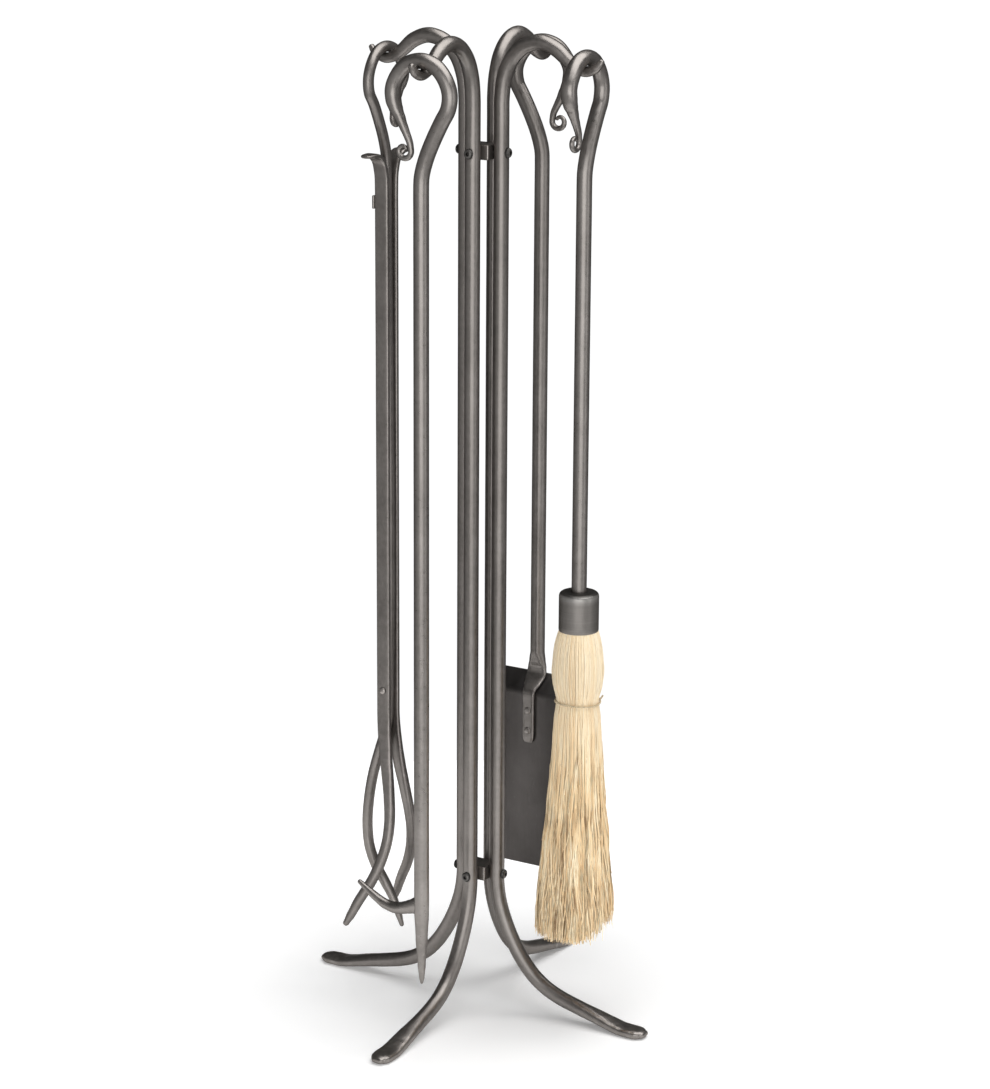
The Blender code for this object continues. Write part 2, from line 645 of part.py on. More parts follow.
# ---------------------------------------------------------------- broom
def broom(mat, straw, wire):
    leg = "front_right"
    out, side = directions(leg)
    r = BAR_R
    up = Vector((0.0, 0.0, 1.0))
    rows = shaft(leg, [
        (FERRULE_TOP_Z - 0.016, r * 0.8, r * 0.8, 2.0),
        (FERRULE_TOP_Z - 0.013, r, r, 2.0),
        (LOOP_FOOT_Z - 0.010, r, r, 2.0),
        (LOOP_FOOT_Z, r, r, 2.0),
    ])
    forged("broom_rod", rows + handle(leg, loop_top(r), r, TAIL_LIFT), out, mat)
    centre = place(leg, TOOL_R, 0.0, 0.0)
    top = FERRULE_TOP_Z
    low = FERRULE_LOW_Z
    inside = FERRULE_R - FERRULE_WALL
    ferrule = [
        (r + GAP, top - 0.0024), (r + GAP, top), (FERRULE_R - 0.0030, top),
        (FERRULE_R - 0.0009, top - 0.0009), (FERRULE_R, top - 0.0030), (FERRULE_R, low),
        (inside, low), (inside, top - 0.0040), (inside - 0.0016, top - 0.0024),
    ]
    turned("broom_ferrule", ferrule, centre, up, mat, 24)
    neck = inside - GAP
    bristles = [
        (0.0, FERRULE_TOP_Z - 0.022), (neck, FERRULE_TOP_Z - 0.022), (neck, low - GAP),
        (0.0180, low - GAP), (0.0188, low - 0.006), (0.0206, 0.3210), (0.0217, 0.3080),
        (0.0207, 0.2950), (TIE_RING_R - TIE_WIRE_R - GAP, 0.2835), (TIE_RING_R - TIE_WIRE_R - GAP, 0.2795),
        (0.0193, 0.2710), (0.0203, 0.2480), (0.0217, 0.2240), (0.0236, 0.1930), (0.0272, 0.1560),
        (0.0305, 0.1230), (0.0326, 0.0980), (0.0322, BROOM_LOW_Z + 0.004), (0.0290, BROOM_LOW_Z),
        (0.0, BROOM_LOW_Z),
    ]
    turned("broom_bristles", bristles, centre, up, straw, 20)
    tie = []
    for k in range(6):
        angle = 2.0 * math.pi * k / 6
        tie.append((TIE_RING_R + TIE_WIRE_R * math.cos(angle), TIE_Z + TIE_WIRE_R * math.sin(angle)))
    turned("broom_tie", tie, centre, up, wire, 20)


# ---------------------------------------------------------------- moving groups
def group(name, origin, nodes):
    """Hang the named pieces on an empty that sits on their joint's axis."""
    empty = bpy.data.objects.new(name, None)
    empty.empty_display_size = 0.02
    empty.location = origin
    bpy.context.scene.collection.objects.link(empty)
    bpy.context.view_layer.update()
    for node in nodes:
        piece = bpy.data.objects[node]
        piece.parent = empty
        piece.matrix_parent_inverse = empty.matrix_world.inverted()
    return empty


def moving_groups():
    """Each tool lifts off from its hook's seat, and the tongs' arms turn on their pin."""
    seat = HOOK_SEAT[1]
    group("poker_lift", place("front_left", TOOL_R, 0.0, seat), ["poker_rod", "poker_barb"])
    group("shovel_lift", place("back_right", TOOL_R, 0.0, seat),
          ["shovel_rod", "shovel_pan", "shovel_rivet_1", "shovel_rivet_2"])
    group("broom_lift", place("front_right", TOOL_R, 0.0, seat),
          ["broom_rod", "broom_ferrule", "broom_bristles", "broom_tie"])
    lift = group("tongs_lift", place("back_left", TOOL_R, 0.0, seat), ["tongs_rod"])
    arms = group("tongs_open", place("back_left", TOOL_R, 0.0, PIVOT_Z),
                 ["tongs_arm_front", "tongs_arm_back", "tongs_pivot_pin", "tongs_strap"])
    arms.parent = lift
    arms.matrix_parent_inverse = lift.matrix_world.inverted()


# ---------------------------------------------------------------- build
def main():
    for obj in list(bpy.data.objects):
        bpy.data.objects.remove(obj)
    iron = material("forged_iron", (0.120, 0.112, 0.106), 0.45, 0.85)
    bright = material("forged_iron_bright", (0.165, 0.157, 0.150), 0.40, 0.85)
    sheet = material("sheet_steel", (0.085, 0.080, 0.076), 0.50, 0.80)
    black = material("bolt_steel", (0.030, 0.029, 0.028), 0.40, 0.80)
    straw = material("broom_straw", (0.640, 0.500, 0.310), 0.85, 0.0)
    wire = material("tie_wire", (0.420, 0.370, 0.300), 0.60, 0.2)
    for leg in LEGS:
        upright(leg, iron)
    spacer("upper_spacer", UPPER_SPACER_Z, iron)
    spacer("lower_spacer", LOWER_SPACER_Z, iron)
    for level, height in (("upper", UPPER_SPACER_Z), ("lower", LOWER_SPACER_Z)):
        for leg in LEGS:
            bolt(leg, level, height, black)
    poker(bright)
    tongs(iron, iron)
    shovel(iron, sheet)
    broom(bright, straw, wire)
    moving_groups()


main()
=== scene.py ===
"""Looks of the fireplace tool set: forged bars with hammered ends, a folded shovel and a straw broom.

Metres, +Z up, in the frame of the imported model. Each leg, hook and tool lies on one diagonal of the
X and Y axes, and a tool hangs with its loop square to its hook, across the diagonal.
"""

import random
from math import atan2, copysign, cos, degrees, dist, pi, radians, sin, sqrt

import bmesh
import bpy
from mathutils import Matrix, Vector, noise


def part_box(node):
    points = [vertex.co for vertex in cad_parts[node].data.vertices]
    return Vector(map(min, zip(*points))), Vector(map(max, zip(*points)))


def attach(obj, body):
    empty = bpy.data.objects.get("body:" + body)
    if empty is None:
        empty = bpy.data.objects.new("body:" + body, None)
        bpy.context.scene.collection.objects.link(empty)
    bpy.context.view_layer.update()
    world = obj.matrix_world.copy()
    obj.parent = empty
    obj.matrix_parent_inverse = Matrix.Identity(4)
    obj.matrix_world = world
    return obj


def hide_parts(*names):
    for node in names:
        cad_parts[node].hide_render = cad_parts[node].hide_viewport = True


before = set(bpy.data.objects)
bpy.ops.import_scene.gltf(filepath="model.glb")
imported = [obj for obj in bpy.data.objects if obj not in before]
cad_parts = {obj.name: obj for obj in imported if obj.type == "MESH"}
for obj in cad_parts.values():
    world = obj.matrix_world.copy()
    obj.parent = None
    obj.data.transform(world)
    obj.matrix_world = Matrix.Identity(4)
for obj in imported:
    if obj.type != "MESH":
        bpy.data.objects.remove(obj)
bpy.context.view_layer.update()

# ---- sizes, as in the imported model
BAR_R = 0.0062                # round bar of the stand and of three tools
CIRCLE_R = 0.0165             # from the stand's axis to each upright
SCREW_HOLE_R = 0.0028
RIVET_R = 0.002
RIVET_HOLE_R = 0.0023
FOOT_R = 0.1575
FOOT_HALF_W = 0.0093
FOOT_HALF_T = 0.0038
HOOK_SEAT = (0.092, 0.7905)
HOOK_SEAT_R = 0.0043
GAP = 0.0003
TOOL_R = HOOK_SEAT[0]
LOOP_HALF = 0.0255
LOOP_FOOT_Z = 0.702
CURL = (-0.0152, 0.7318)      # centre of the scroll: across, height
CURL_R = 0.0062
TAIL_Z = 0.7385               # where the tapered end of the loop runs into the scroll
TAIL_LIFT = 0.0055            # how much higher the scroll sits on the shovel and the broom
TONGS_TAIL_LIFT = 0.0095      # the same on the tongs
TONGS_R = 0.0045
ARM_HALF_W = 0.0062
ARM_HALF_T = 0.002
ARM_T = TONGS_R + GAP + ARM_HALF_T
PAN_WALL = 0.0018
PAN_HALF_W = 0.0445
PAN_LIP_Z = 0.0955
TAB_T = 0.0034
STRAW_NECK_R = 0.0146
MARK = 0.0048                 # size of one hammer mark
PLAIN = 0.00001               # depth of the marks on a plain round bar

UP = Vector((0.0, 0.0, 1.0))
TURN = 2.0 * pi
LEGS = {"front_right": -45.0, "back_right": 45.0, "back_left": 135.0, "front_left": 225.0}


def middle(node):
    """Middle of a CAD node's box."""
    low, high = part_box(node)
    return (low + high) / 2


BOLT_Z = {level: middle("bolt_" + level + "_front_left").z for level in ("upper", "lower")}
PIVOT = middle("tongs_pivot_pin")
STRAP_Z = middle("tongs_strap").z
ARM_TOP_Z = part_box("tongs_arm_front")[1].z - ARM_HALF_T * 0.9
POKER_TIP_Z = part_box("poker_rod")[0].z + 0.0008
BARB_Z = 0.1138               # where the barb leaves the poker
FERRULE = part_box("broom_ferrule")
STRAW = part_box("broom_bristles")
TIE = middle("broom_tie")
PAN_TOP_Z = 0.2505            # fold between the pan's bottom and its sloping back
PAN_R = 0.0805
TAB_R = PAN_R - PAN_WALL / 2 - GAP - TAB_T / 2


def level_way(angle):
    """Level direction at an angle from +X."""
    return Vector((cos(angle), sin(angle), 0.0))


def directions(leg):
    """Outward direction of a leg, and the direction across it."""
    out = level_way(radians(LEGS[leg]))
    return out, Vector((-out.y, out.x, 0.0))


def place(leg, radius, across, height):
    out, side = directions(leg)
    return out * radius + side * across + UP * height


def outward_rows(leg, rows):
    """Stations in the plane of a leg and the stand's axis: rows are (radius, height, ...)."""
    return [(*place(leg, radius, 0.0, height), *rest) for radius, height, *rest in rows]


def across_rows(leg, rows):
    """Stations in the plane that a tool's loop lies in: rows are (across, height, ...)."""
    return [(*place(leg, TOOL_R, across, height), *rest) for across, height, *rest in rows]


# ---- materials
class Nodes:
    """Short-hand for building a node tree."""

    def __init__(self, tree):
        self.tree = tree

    def add(self, kind, inputs=None, **settings):
        node = self.tree.nodes.new(kind)
        for key, value in settings.items():
            setattr(node, key, value)
        for key, value in (inputs or {}).items():
            self.put(node.inputs[key], value)
        return node

    def put(self, socket, value):
        if isinstance(value, bpy.types.NodeSocket):
            self.tree.links.new(value, socket)
        else:
            socket.default_value = value

    def maths(self, operation, *values):
        node = self.add("ShaderNodeMath", operation=operation)
        for socket, value in zip(node.inputs, values):
            self.put(socket, value)
        return node.outputs["Value"]

    def remap(self, value, low, high, to_low, to_high):
        node = self.add("ShaderNodeMapRange", {"Value": value, "From Min": low, "From Max": high,
                                               "To Min": to_low, "To Max": to_high})
        return node.outputs["Result"]

    def ramp(self, value, stops, interpolation="LINEAR"):
        node = self.add("ShaderNodeValToRGB", {"Fac": value})
        node.color_ramp.interpolation = interpolation
        elements = node.color_ramp.elements
        while len(elements) < len(stops):
            elements.new(0.5)
        for element, (position, colour) in zip(elements, stops):
            element.position = position
            element.color = (*colour, 1.0)
        return node.outputs["Color"]

    def mix(self, share, a, b):
        node = self.add("ShaderNodeMix", {"Factor": share}, data_type="RGBA")
        for key, value in (("A", a), ("B", b)):
            fixed = not isinstance(value, bpy.types.NodeSocket)
            self.put(node.inputs[key], (*value, 1.0) if fixed else value)
        return node.outputs["Result"]


class Surface(Nodes):
    """One material and its node tree."""

    def __init__(self, name):
        self.mat = bpy.data.materials.new(name)
        self.mat.use_nodes = True
        super().__init__(self.mat.node_tree)
        self.shader = self.tree.nodes["Principled BSDF"]
        self.coords = self.add("ShaderNodeTexCoord").outputs["Object"]

    def stretched(self, scale):
        """Object coordinates, scaled by a different amount on each axis."""
        node = self.add("ShaderNodeMapping", {"Vector": self.coords, "Scale": scale})
        return node.outputs["Vector"]

    def noise(self, scale, detail=3.0, rough=0.5, vector=None):
        node = self.add("ShaderNodeTexNoise", {"Vector": vector or self.coords, "Scale": scale,
                                               "Detail": detail, "Roughness": rough})
        return node.outputs["Fac"]

    def blend_of(self, a, b, share):
        """Weighted sum of two values: the share of the first, and the rest of the second."""
        rest = self.maths("MULTIPLY", b, 1.0 - share)
        return self.maths("ADD", self.maths("MULTIPLY", a, share), rest)

    def attribute(self, name):
        return self.add("ShaderNodeAttribute", attribute_name=name).outputs["Fac"]

    def height(self):
        return self.add("ShaderNodeSeparateXYZ", {"Vector": self.coords}).outputs["Z"]

    def bump(self, heights):
        """Bump from (height, distance in metres) pairs, the coarsest first."""
        normal = None
        for value, distance in heights:
            node = self.add("ShaderNodeBump", {"Height": value, "Distance": distance})
            if normal is not None:
                self.put(node.inputs["Normal"], normal)
            normal = node.outputs["Normal"]
        self.put(self.shader.inputs["Normal"], normal)

    def finish(self, colour, roughness, **fixed):
        self.put(self.shader.inputs["Base Color"], colour)
        self.put(self.shader.inputs["Roughness"], roughness)
        for key, value in fixed.items():
            self.shader.inputs[key.replace("_", " ")].default_value = value
        return self.mat


STEEL_TINT = (0.42, 0.41, 0.4, 1.0)


def forged_steel(name, dark, light, rough):
    """Waxed forged steel: cloudy fire scale, fine grain, and edges that handling has brightened."""
    n = Surface(name)
    cloud = n.noise(30.0, 4.0, 0.55)
    scale = n.noise(260.0, 5.0, 0.62)
    grain = n.noise(1900.0, 3.0, 0.55)
    wear = n.attribute("wear")
    share = n.blend_of(cloud, scale, 0.6)
    colour = n.ramp(share, [(0.34, dark), (0.66, light)])
    worn = n.maths("MULTIPLY", wear, n.remap(scale, 0.35, 0.65, 0.35, 0.85))
    colour = n.mix(worn, colour, tuple(min(1.0, c * 1.5) for c in light))
    pits = n.remap(grain, 0.6, 0.72, 0.0, 0.16)
    colour = n.mix(pits, colour, tuple(c * 0.55 for c in dark))
    matt = n.remap(scale, 0.3, 0.7, rough - 0.05, rough + 0.07)
    matt = n.maths("SUBTRACT", matt, n.maths("MULTIPLY", wear, 0.06))
    n.bump([(cloud, 0.0003), (scale, 0.00007), (grain, 0.00002)])
    return n.finish(colour, matt, Metallic=0.9, Specular_Tint=STEEL_TINT)


def sheet_steel(name):
    """The shovel's rolled sheet: a dark oxide skin with faint streaks down it and small scuffs."""
    n = Surface(name)
    cloud = n.noise(26.0, 4.0, 0.55)
    streak = n.noise(90.0, 4.0, 0.6, n.stretched((1.0, 1.0, 0.1)))
    grain = n.noise(1500.0, 2.0, 0.5)
    scuff = n.remap(n.noise(420.0, 4.0, 0.7, n.stretched((1.0, 1.0, 0.25))), 0.62, 0.74, 0.0, 0.5)
    share = n.blend_of(cloud, streak, 0.5)
    colour = n.ramp(share, [(0.35, (0.098, 0.09, 0.086)), (0.65, (0.138, 0.128, 0.123))])
    colour = n.mix(scuff, colour, (0.18, 0.17, 0.165))
    # painted shade: the sloping back wall above the fold is darkened to near black, standing in for
    # the dark it faces overhead
    painted_shade = n.remap(n.height(), PAN_TOP_Z - 0.002, PAN_TOP_Z + 0.003, 0.0, 0.62)
    colour = n.mix(painted_shade, colour, (0.03, 0.028, 0.027))
    colour = n.mix(n.maths("MULTIPLY", n.attribute("wear"), 0.5), colour, (0.36, 0.35, 0.34))
    matt = n.remap(streak, 0.3, 0.7, 0.3, 0.42)
    n.bump([(cloud, 0.0006), (streak, 0.00004), (grain, 0.00001)])
    return n.finish(colour, matt, Metallic=0.85, Specular_Tint=STEEL_TINT)


def ferrule_steel(name):
    """The broom's cap: turned steel, with fine lines round it."""
    n = Surface(name)
    lines = n.noise(140.0, 4.0, 0.65, n.stretched((0.05, 0.05, 9.0)))
    cloud = n.noise(70.0, 4.0, 0.55)
    grain = n.noise(1700.0, 2.0, 0.5)
    share = n.blend_of(lines, cloud, 0.6)
    colour = n.ramp(share, [(0.32, (0.18, 0.168, 0.157)), (0.68, (0.26, 0.244, 0.229))])
    # painted shade: the rounded top of the cap is darkened, standing in for the dark it reflects from
    # overhead
    painted_shade = n.remap(n.height(), FERRULE[1].z - 0.003, FERRULE[1].z - 0.0008, 0.0, 0.8)
    colour = n.mix(painted_shade, colour, (0.05, 0.048, 0.045))
    # wear, partly a rubbed rim and partly a painted highlight: a lightened ring on the lower shoulder
    # below the dark top
    colour = n.mix(n.maths("MULTIPLY", n.attribute("wear"), 0.35), colour, (0.52, 0.51, 0.49))
    matt = n.remap(lines, 0.3, 0.7, 0.3, 0.44)
    n.bump([(cloud, 0.00012), (lines, 0.00006), (grain, 0.00002)])
    return n.finish(colour, matt, Metallic=0.8, Specular_Tint=STEEL_TINT)


def black_oxide(name):
    """Blackened screw steel, rubbed at its rims."""
    n = Surface(name)
    cloud = n.noise(420.0, 4.0, 0.6)
    grain = n.noise(2600.0, 2.0, 0.5)
    colour = n.ramp(cloud, [(0.35, (0.04, 0.038, 0.036)), (0.65, (0.085, 0.081, 0.077))])
    colour = n.mix(n.maths("MULTIPLY", n.attribute("wear"), 0.6), colour, (0.2, 0.19, 0.18))
    matt = n.remap(cloud, 0.3, 0.7, 0.34, 0.5)
    n.bump([(cloud, 0.00005), (grain, 0.00002)])
    return n.finish(colour, matt, Metallic=0.8)


def straw(name):
    """Broom straw: each stalk its own shade, cream at the neck, browner and more mixed lower down."""
    n = Surface(name)
    tint = n.attribute("tint")
    low = n.remap(n.height(), TIE.z - 0.07, TIE.z + 0.02, 1.0, 0.0)
    along = n.noise(210.0, 4.0, 0.6, n.stretched((1.0, 1.0, 0.14)))
    clump = n.noise(95.0, 3.0, 0.55, n.stretched((1.0, 1.0, 0.22)))
    fibre = n.noise(1500.0, 3.0, 0.6, n.stretched((1.0, 1.0, 0.05)))
    shade = n.maths("ADD", n.maths("MULTIPLY", tint, 0.6), n.maths("MULTIPLY", along, 0.38))
    cream = n.ramp(shade, [(0.1, (0.72, 0.52, 0.3)), (0.36, (0.88, 0.7, 0.455)),
                           (0.66, (0.925, 0.79, 0.57)), (1.0, (0.95, 0.86, 0.7))])
    mixed = n.maths("ADD", shade, n.remap(clump, 0.32, 0.68, -0.22, 0.16))
    tan = n.ramp(mixed, [(0.04, (0.25, 0.155, 0.08)), (0.18, (0.46, 0.32, 0.175)),
                         (0.28, (0.53, 0.45, 0.3)), (0.4, (0.8, 0.57, 0.32)),
                         (0.56, (0.92, 0.71, 0.43)), (0.8, (0.98, 0.87, 0.64))])
    colour = n.mix(low, cream, tan)
    colour = n.mix(n.remap(fibre, 0.52, 0.75, 0.0, 0.35), colour, (0.4, 0.27, 0.15))
    matt = n.remap(along, 0.3, 0.7, 0.55, 0.78)
    n.bump([(along, 0.00012), (fibre, 0.00006)])
    return n.finish(colour, matt, Metallic=0.0, Specular_IOR_Level=0.35)


def tie_wire(name):
    n = Surface(name)
    cloud = n.noise(380.0, 4.0, 0.6)
    grain = n.noise(2400.0, 2.0, 0.5)
    colour = n.ramp(cloud, [(0.35, (0.5, 0.41, 0.27)), (0.65, (0.72, 0.61, 0.43))])
    matt = n.remap(cloud, 0.3, 0.7, 0.42, 0.62)
    n.bump([(cloud, 0.00006), (grain, 0.00003)])
    return n.finish(colour, matt, Metallic=0.25)


IRON = forged_steel("forged_iron", (0.196, 0.18, 0.168), (0.28, 0.259, 0.243), 0.34)
BRIGHT = forged_steel("forged_iron_bright", (0.22, 0.203, 0.19), (0.31, 0.288, 0.271), 0.31)
SHEET = sheet_steel("sheet_steel")
CAP = ferrule_steel("ferrule_steel")
BLACK = black_oxide("bolt_steel")
STRAWS = straw("broom_straw")
WIRE = tie_wire("tie_wire")


# ---- mesh helpers
def show(name, data):
    """A new object in the scene."""
    obj = bpy.data.objects.new(name, data)
    bpy.context.scene.collection.objects.link(obj)
    return obj


def from_bmesh(name, bm, mat):
    mesh = bpy.data.meshes.new(name)
    bm.to_mesh(mesh)
    bm.free()
    mesh.materials.append(mat)
    return show(name, mesh)


def make(name, verts, faces, mat, **attributes):
    """A mesh object from plain lists, with one number for each vertex in each named attribute."""
    mesh = bpy.data.meshes.new(name)
    mesh.from_pydata(verts, [], faces)
    for key, values in attributes.items():
        layer = mesh.attributes.new(key, "FLOAT", "POINT")
        layer.data.foreach_set("value", values)
    mesh.materials.append(mat)
    bm = bmesh.new()
    bm.from_mesh(mesh)
    bmesh.ops.recalc_face_normals(bm, faces=bm.faces)
    bm.to_mesh(mesh)
    bm.free()
    obj = show(name, mesh)
    soften(obj)
    return obj


def soften(obj, angle=38.0):
    """Smooth shading, with edges sharper than the angle kept crisp."""
    obj.data.shade_smooth()
    obj.data.set_sharp_from_angle(angle=radians(angle))


def settle(obj, body, slot, *nodes):
    """Let a finished piece stand for its CAD nodes, and ride on their body."""
    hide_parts(*nodes)
    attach(obj, body)


def modify(obj, kind, **settings):
    mod = obj.modifiers.new(kind.lower(), kind)
    for key, value in settings.items():
        setattr(mod, key, value)


def bake_modifiers(obj):
    bpy.context.view_layer.update()
    evaluated = obj.evaluated_get(bpy.context.evaluated_depsgraph_get())
    mesh = bpy.data.meshes.new_from_object(evaluated)
    obj.modifiers.clear()
    obj.data = mesh


def cut(obj, other):
    """Take one closed mesh out of another; the one taken out is used up."""
    modify(obj, "BOOLEAN", operation="DIFFERENCE", solver="EXACT", object=other)
    bake_modifiers(obj)
    bpy.data.objects.remove(other)
    soften(obj)


def hermite(a, b, da, db, u):
    """Point at u, from 0 to 1, of a cubic from a to b with the slopes da and db."""
    return ((2 * u ** 3 - 3 * u ** 2 + 1) * a + (u ** 3 - 2 * u ** 2 + u) * da
            + (-2 * u ** 3 + 3 * u ** 2) * b + (u ** 3 - u ** 2) * db)


def slope(a, b, c, first, second):
    return ((b - a) / first * second + (c - b) / second * first) / (first + second)


def course(rows, step=0.0008):
    """Smooth run through stations (x, y, z, half_width, half_thickness, squareness, marks)."""
    fine = []
    for i in range(len(rows) - 1):
        before, here, there = rows[max(i - 1, 0)], rows[i], rows[i + 1]
        after = rows[min(i + 2, len(rows) - 1)]
        span = dist(here[:3], there[:3])
        back = max(dist(before[:3], here[:3]), 1e-9) if i else span
        fore = max(dist(there[:3], after[:3]), 1e-9) if i + 2 < len(rows) else span
        count = max(3, round(span / step))
        for k in range(count):
            u = k / count
            point = []
            for c in range(3):
                start = end = (there[c] - here[c]) / span
                if i:
                    start = slope(before[c], here[c], there[c], back, span)
                if i + 2 < len(rows):
                    end = slope(here[c], there[c], after[c], span, fore)
                point.append(hermite(here[c], there[c], start * span, end * span, u))
            ease = u * u * (3.0 - 2.0 * u)
            rest = [here[c] + (there[c] - here[c]) * ease for c in range(3, 7)]
            fine.append((*point, *rest))
    fine.append(tuple(rows[-1]))
    return fine


def spaced(fine, longest=0.0048, turn=3.5, shortest=0.0009):
    """Rings for the fine course: (row, tangent), close where it bends, swells or is hammered."""
    kept = [0]
    headings = []
    for i in range(len(fine)):
        a = Vector(fine[max(i - 1, 0)][:3])
        b = Vector(fine[min(i + 1, len(fine) - 1)][:3])
        headings.append((b - a).normalized())
    for i in range(1, len(fine) - 1):
        last = kept[-1]
        gone = dist(fine[i][:3], fine[last][:3])
        bend = degrees(headings[i].angle(headings[last], 0.0))
        swell = max(abs(fine[i][c] - fine[last][c]) for c in (3, 4))
        struck = fine[i][6] > 0.00006 and gone >= 0.0011
        if gone >= longest or gone >= shortest and (bend >= turn or swell > 0.00012 or struck):
            kept.append(i)
    kept.append(len(fine) - 1)
    return [(fine[i], headings[i]) for i in kept]


def dent(point, size):
    """Hammer marks: shallow dishes with ridges between them, from -0.5 to 0.5."""
    near = noise.voronoi(point / size)[0][0]
    return min(near, 0.9) ** 2 / 0.81 - 0.5


def rounded_end(row, heading, reach):
    """Rings that round a bar's end over: (row, heading, distance ahead, share of its size)."""
    lifts = (0.38, 0.68, 0.88, 0.98)
    return [(row, heading, reach * lift, sqrt(1.0 - lift ** 2)) for lift in lifts]


def tube_faces(base, rings, sides):
    """Faces of a closed tube, whose rings start at the vertex with the base number."""
    faces = []
    for i in range(rings - 1):
        low, high = base + i * sides, base + (i + 1) * sides
        for k in range(sides):
            j = (k + 1) % sides
            faces.append((low + k, low + j, high + j, high + k))
    faces.append(tuple(base + k for k in reversed(range(sides))))
    faces.append(tuple(base + (rings - 1) * sides + k for k in range(sides)))
    return faces


def sweep(stations, across, sides=24, round_end=1.0, floor=None):
    """Vertices, faces and wear of a forged bar drawn along the stations."""
    rings = spaced(course(stations))
    first, last = rings[0], rings[-1]
    plan = rounded_end(*first, -min(first[0][3:5]))[::-1]
    plan += [(row, heading, 0.0, 1.0) for row, heading in rings]
    plan += rounded_end(*last, min(last[0][3:5]) * round_end)
    verts, wear = [], []
    for row, heading, ahead, scale in plan:
        centre = Vector(row[:3]) + heading * ahead
        half_w, half_t, squareness, hammer = row[3:]
        inset = (1.0 - scale) * min(half_w, half_t)
        side = (across - heading * across.dot(heading)).normalized()
        up = heading.cross(side).normalized()
        for k in range(sides):
            angle = TURN * (k + 0.5) / sides
            c, s = cos(angle), sin(angle)
            x = copysign(abs(c) ** (2.0 / squareness), c) * (half_w - inset)
            y = copysign(abs(s) ** (2.0 / squareness), s) * (half_t - inset)
            normal = side * (x / half_w ** 2) + up * (y / half_t ** 2) + heading * (ahead * 1e4)
            point = centre + side * x + up * y
            struck = dent(point, MARK)
            waver = noise.noise(point * 55.0)
            point += normal.normalized() * (hammer * struck + 0.00004 * waver)
            corner = min(1.0, max(0.0, (squareness - 2.4) / 2.0)) * (abs(2.0 * c * s) ** 4)
            ridge = min(1.0, hammer / 0.00018) * max(0.0, struck * 2.0)
            if floor is not None and point.z < floor:
                point.z = floor
            verts.append(tuple(point))
            wear.append(min(1.0, 0.55 * corner + 0.8 * ridge))
    return verts, tube_faces(0, len(plan), sides), wear


def bar(name, stations, across, mat, **options):
    verts, faces, wear = sweep(stations, across, **options)
    return make(name, verts, faces, mat, wear=wear)


def turned(name, profile, origin, axis, mat, steps=48, wear_at=()):
    """A turned piece: profile is (radius, distance along the axis), closed on the axis or itself."""
    axis = axis.normalized()
    helper = UP if abs(axis.z) < 0.9 else Vector((1.0, 0.0, 0.0))
    u = axis.cross(helper).normalized()
    v = axis.cross(u)
    verts, wear, rows = [], [], []
    for i, (r, d) in enumerate(profile):
        count = 1 if r == 0.0 else steps
        rows.append((len(verts), count))
        for k in range(count):
            angle = TURN * k / steps
            verts.append(tuple(origin + axis * d + (u * cos(angle) + v * sin(angle)) * r))
            wear.append(1.0 if i in wear_at else 0.0)
    pairs = list(zip(rows[:-1], rows[1:]))
    if profile[0][0] > 0.0:
        pairs.append((rows[-1], rows[0]))
    faces = []
    for (a, a_count), (b, b_count) in pairs:
        for k in range(steps):
            j = (k + 1) % steps
            ring = [a + (k if a_count > 1 else 0), a + (j if a_count > 1 else 0),
                    b + (j if b_count > 1 else 0), b + (k if b_count > 1 else 0)]
            faces.append(tuple(dict.fromkeys(ring)))
    return make(name, verts, faces, mat, wear=wear)


def drill(obj, radius, length, start, axis, mat=IRON, flare=0.0):
    """Cut a round hole that widens by the flare."""
    hole = [(0.0, 0.0), (radius, 0.0), (radius + flare, length), (0.0, length)]
    cut(obj, turned("hole", hole, start, axis, mat))


def strike(obj, depth, size):
    """Hammer marks over a whole small piece."""
    for vert in obj.data.vertices:
        vert.co += vert.normal * depth * dent(vert.co, size)


def rivet(name, origin, axis, span, head, worn, marks):
    """A rivet with two heads that hammering has rounded over: head is (radius, rise, lip)."""
    inner, outer = span
    wide, rise, lip = head
    dome = [(wide - 0.0001, 0.0)]
    for k in range(6):
        angle = radians(15.0 * k)
        dome.append((wide * cos(angle), lip + rise * sin(angle)))
    dome.append((0.0, lip + rise))
    profile = [(r, inner - d) for r, d in reversed(dome)]
    profile += [(RIVET_R, inner), (RIVET_R, outer)]
    profile += [(r, outer + d) for r, d in dome]
    both = [*worn, *(len(profile) - 1 - i for i in worn)]
    obj = turned(name, profile, origin, axis, IRON, wear_at=both)
    strike(obj, *marks)
    return obj


def block(name, centre, axes, size, mat, bevel):
    """A block along three axes, its edges rounded over and their wear marked."""
    bm = bmesh.new()
    bmesh.ops.create_cube(bm, size=1.0)
    bmesh.ops.scale(bm, vec=size, verts=bm.verts)
    bmesh.ops.bevel(bm, geom=bm.edges[:], offset=bevel, segments=4, affect="EDGES", profile=0.5)
    bmesh.ops.subdivide_edges(bm, edges=[e for e in bm.edges if e.calc_length() > 0.003], cuts=6,
                              use_grid_fill=True)
    layer = bm.verts.layers.float.new("wear")
    for vert in bm.verts:
        near = sorted(abs(abs(vert.co[i]) - size[i] / 2) for i in range(3))
        vert[layer] = 1.0 if near[1] < bevel * 0.8 else 0.0
        local = vert.co.copy()
        vert.co = centre + axes[0] * local.x + axes[1] * local.y + axes[2] * local.z
        vert.co += (vert.co - centre).normalized() * 0.00012 * dent(vert.co, 0.004)
    obj = from_bmesh(name, bm, mat)
    soften(obj, 50.0)
    return obj


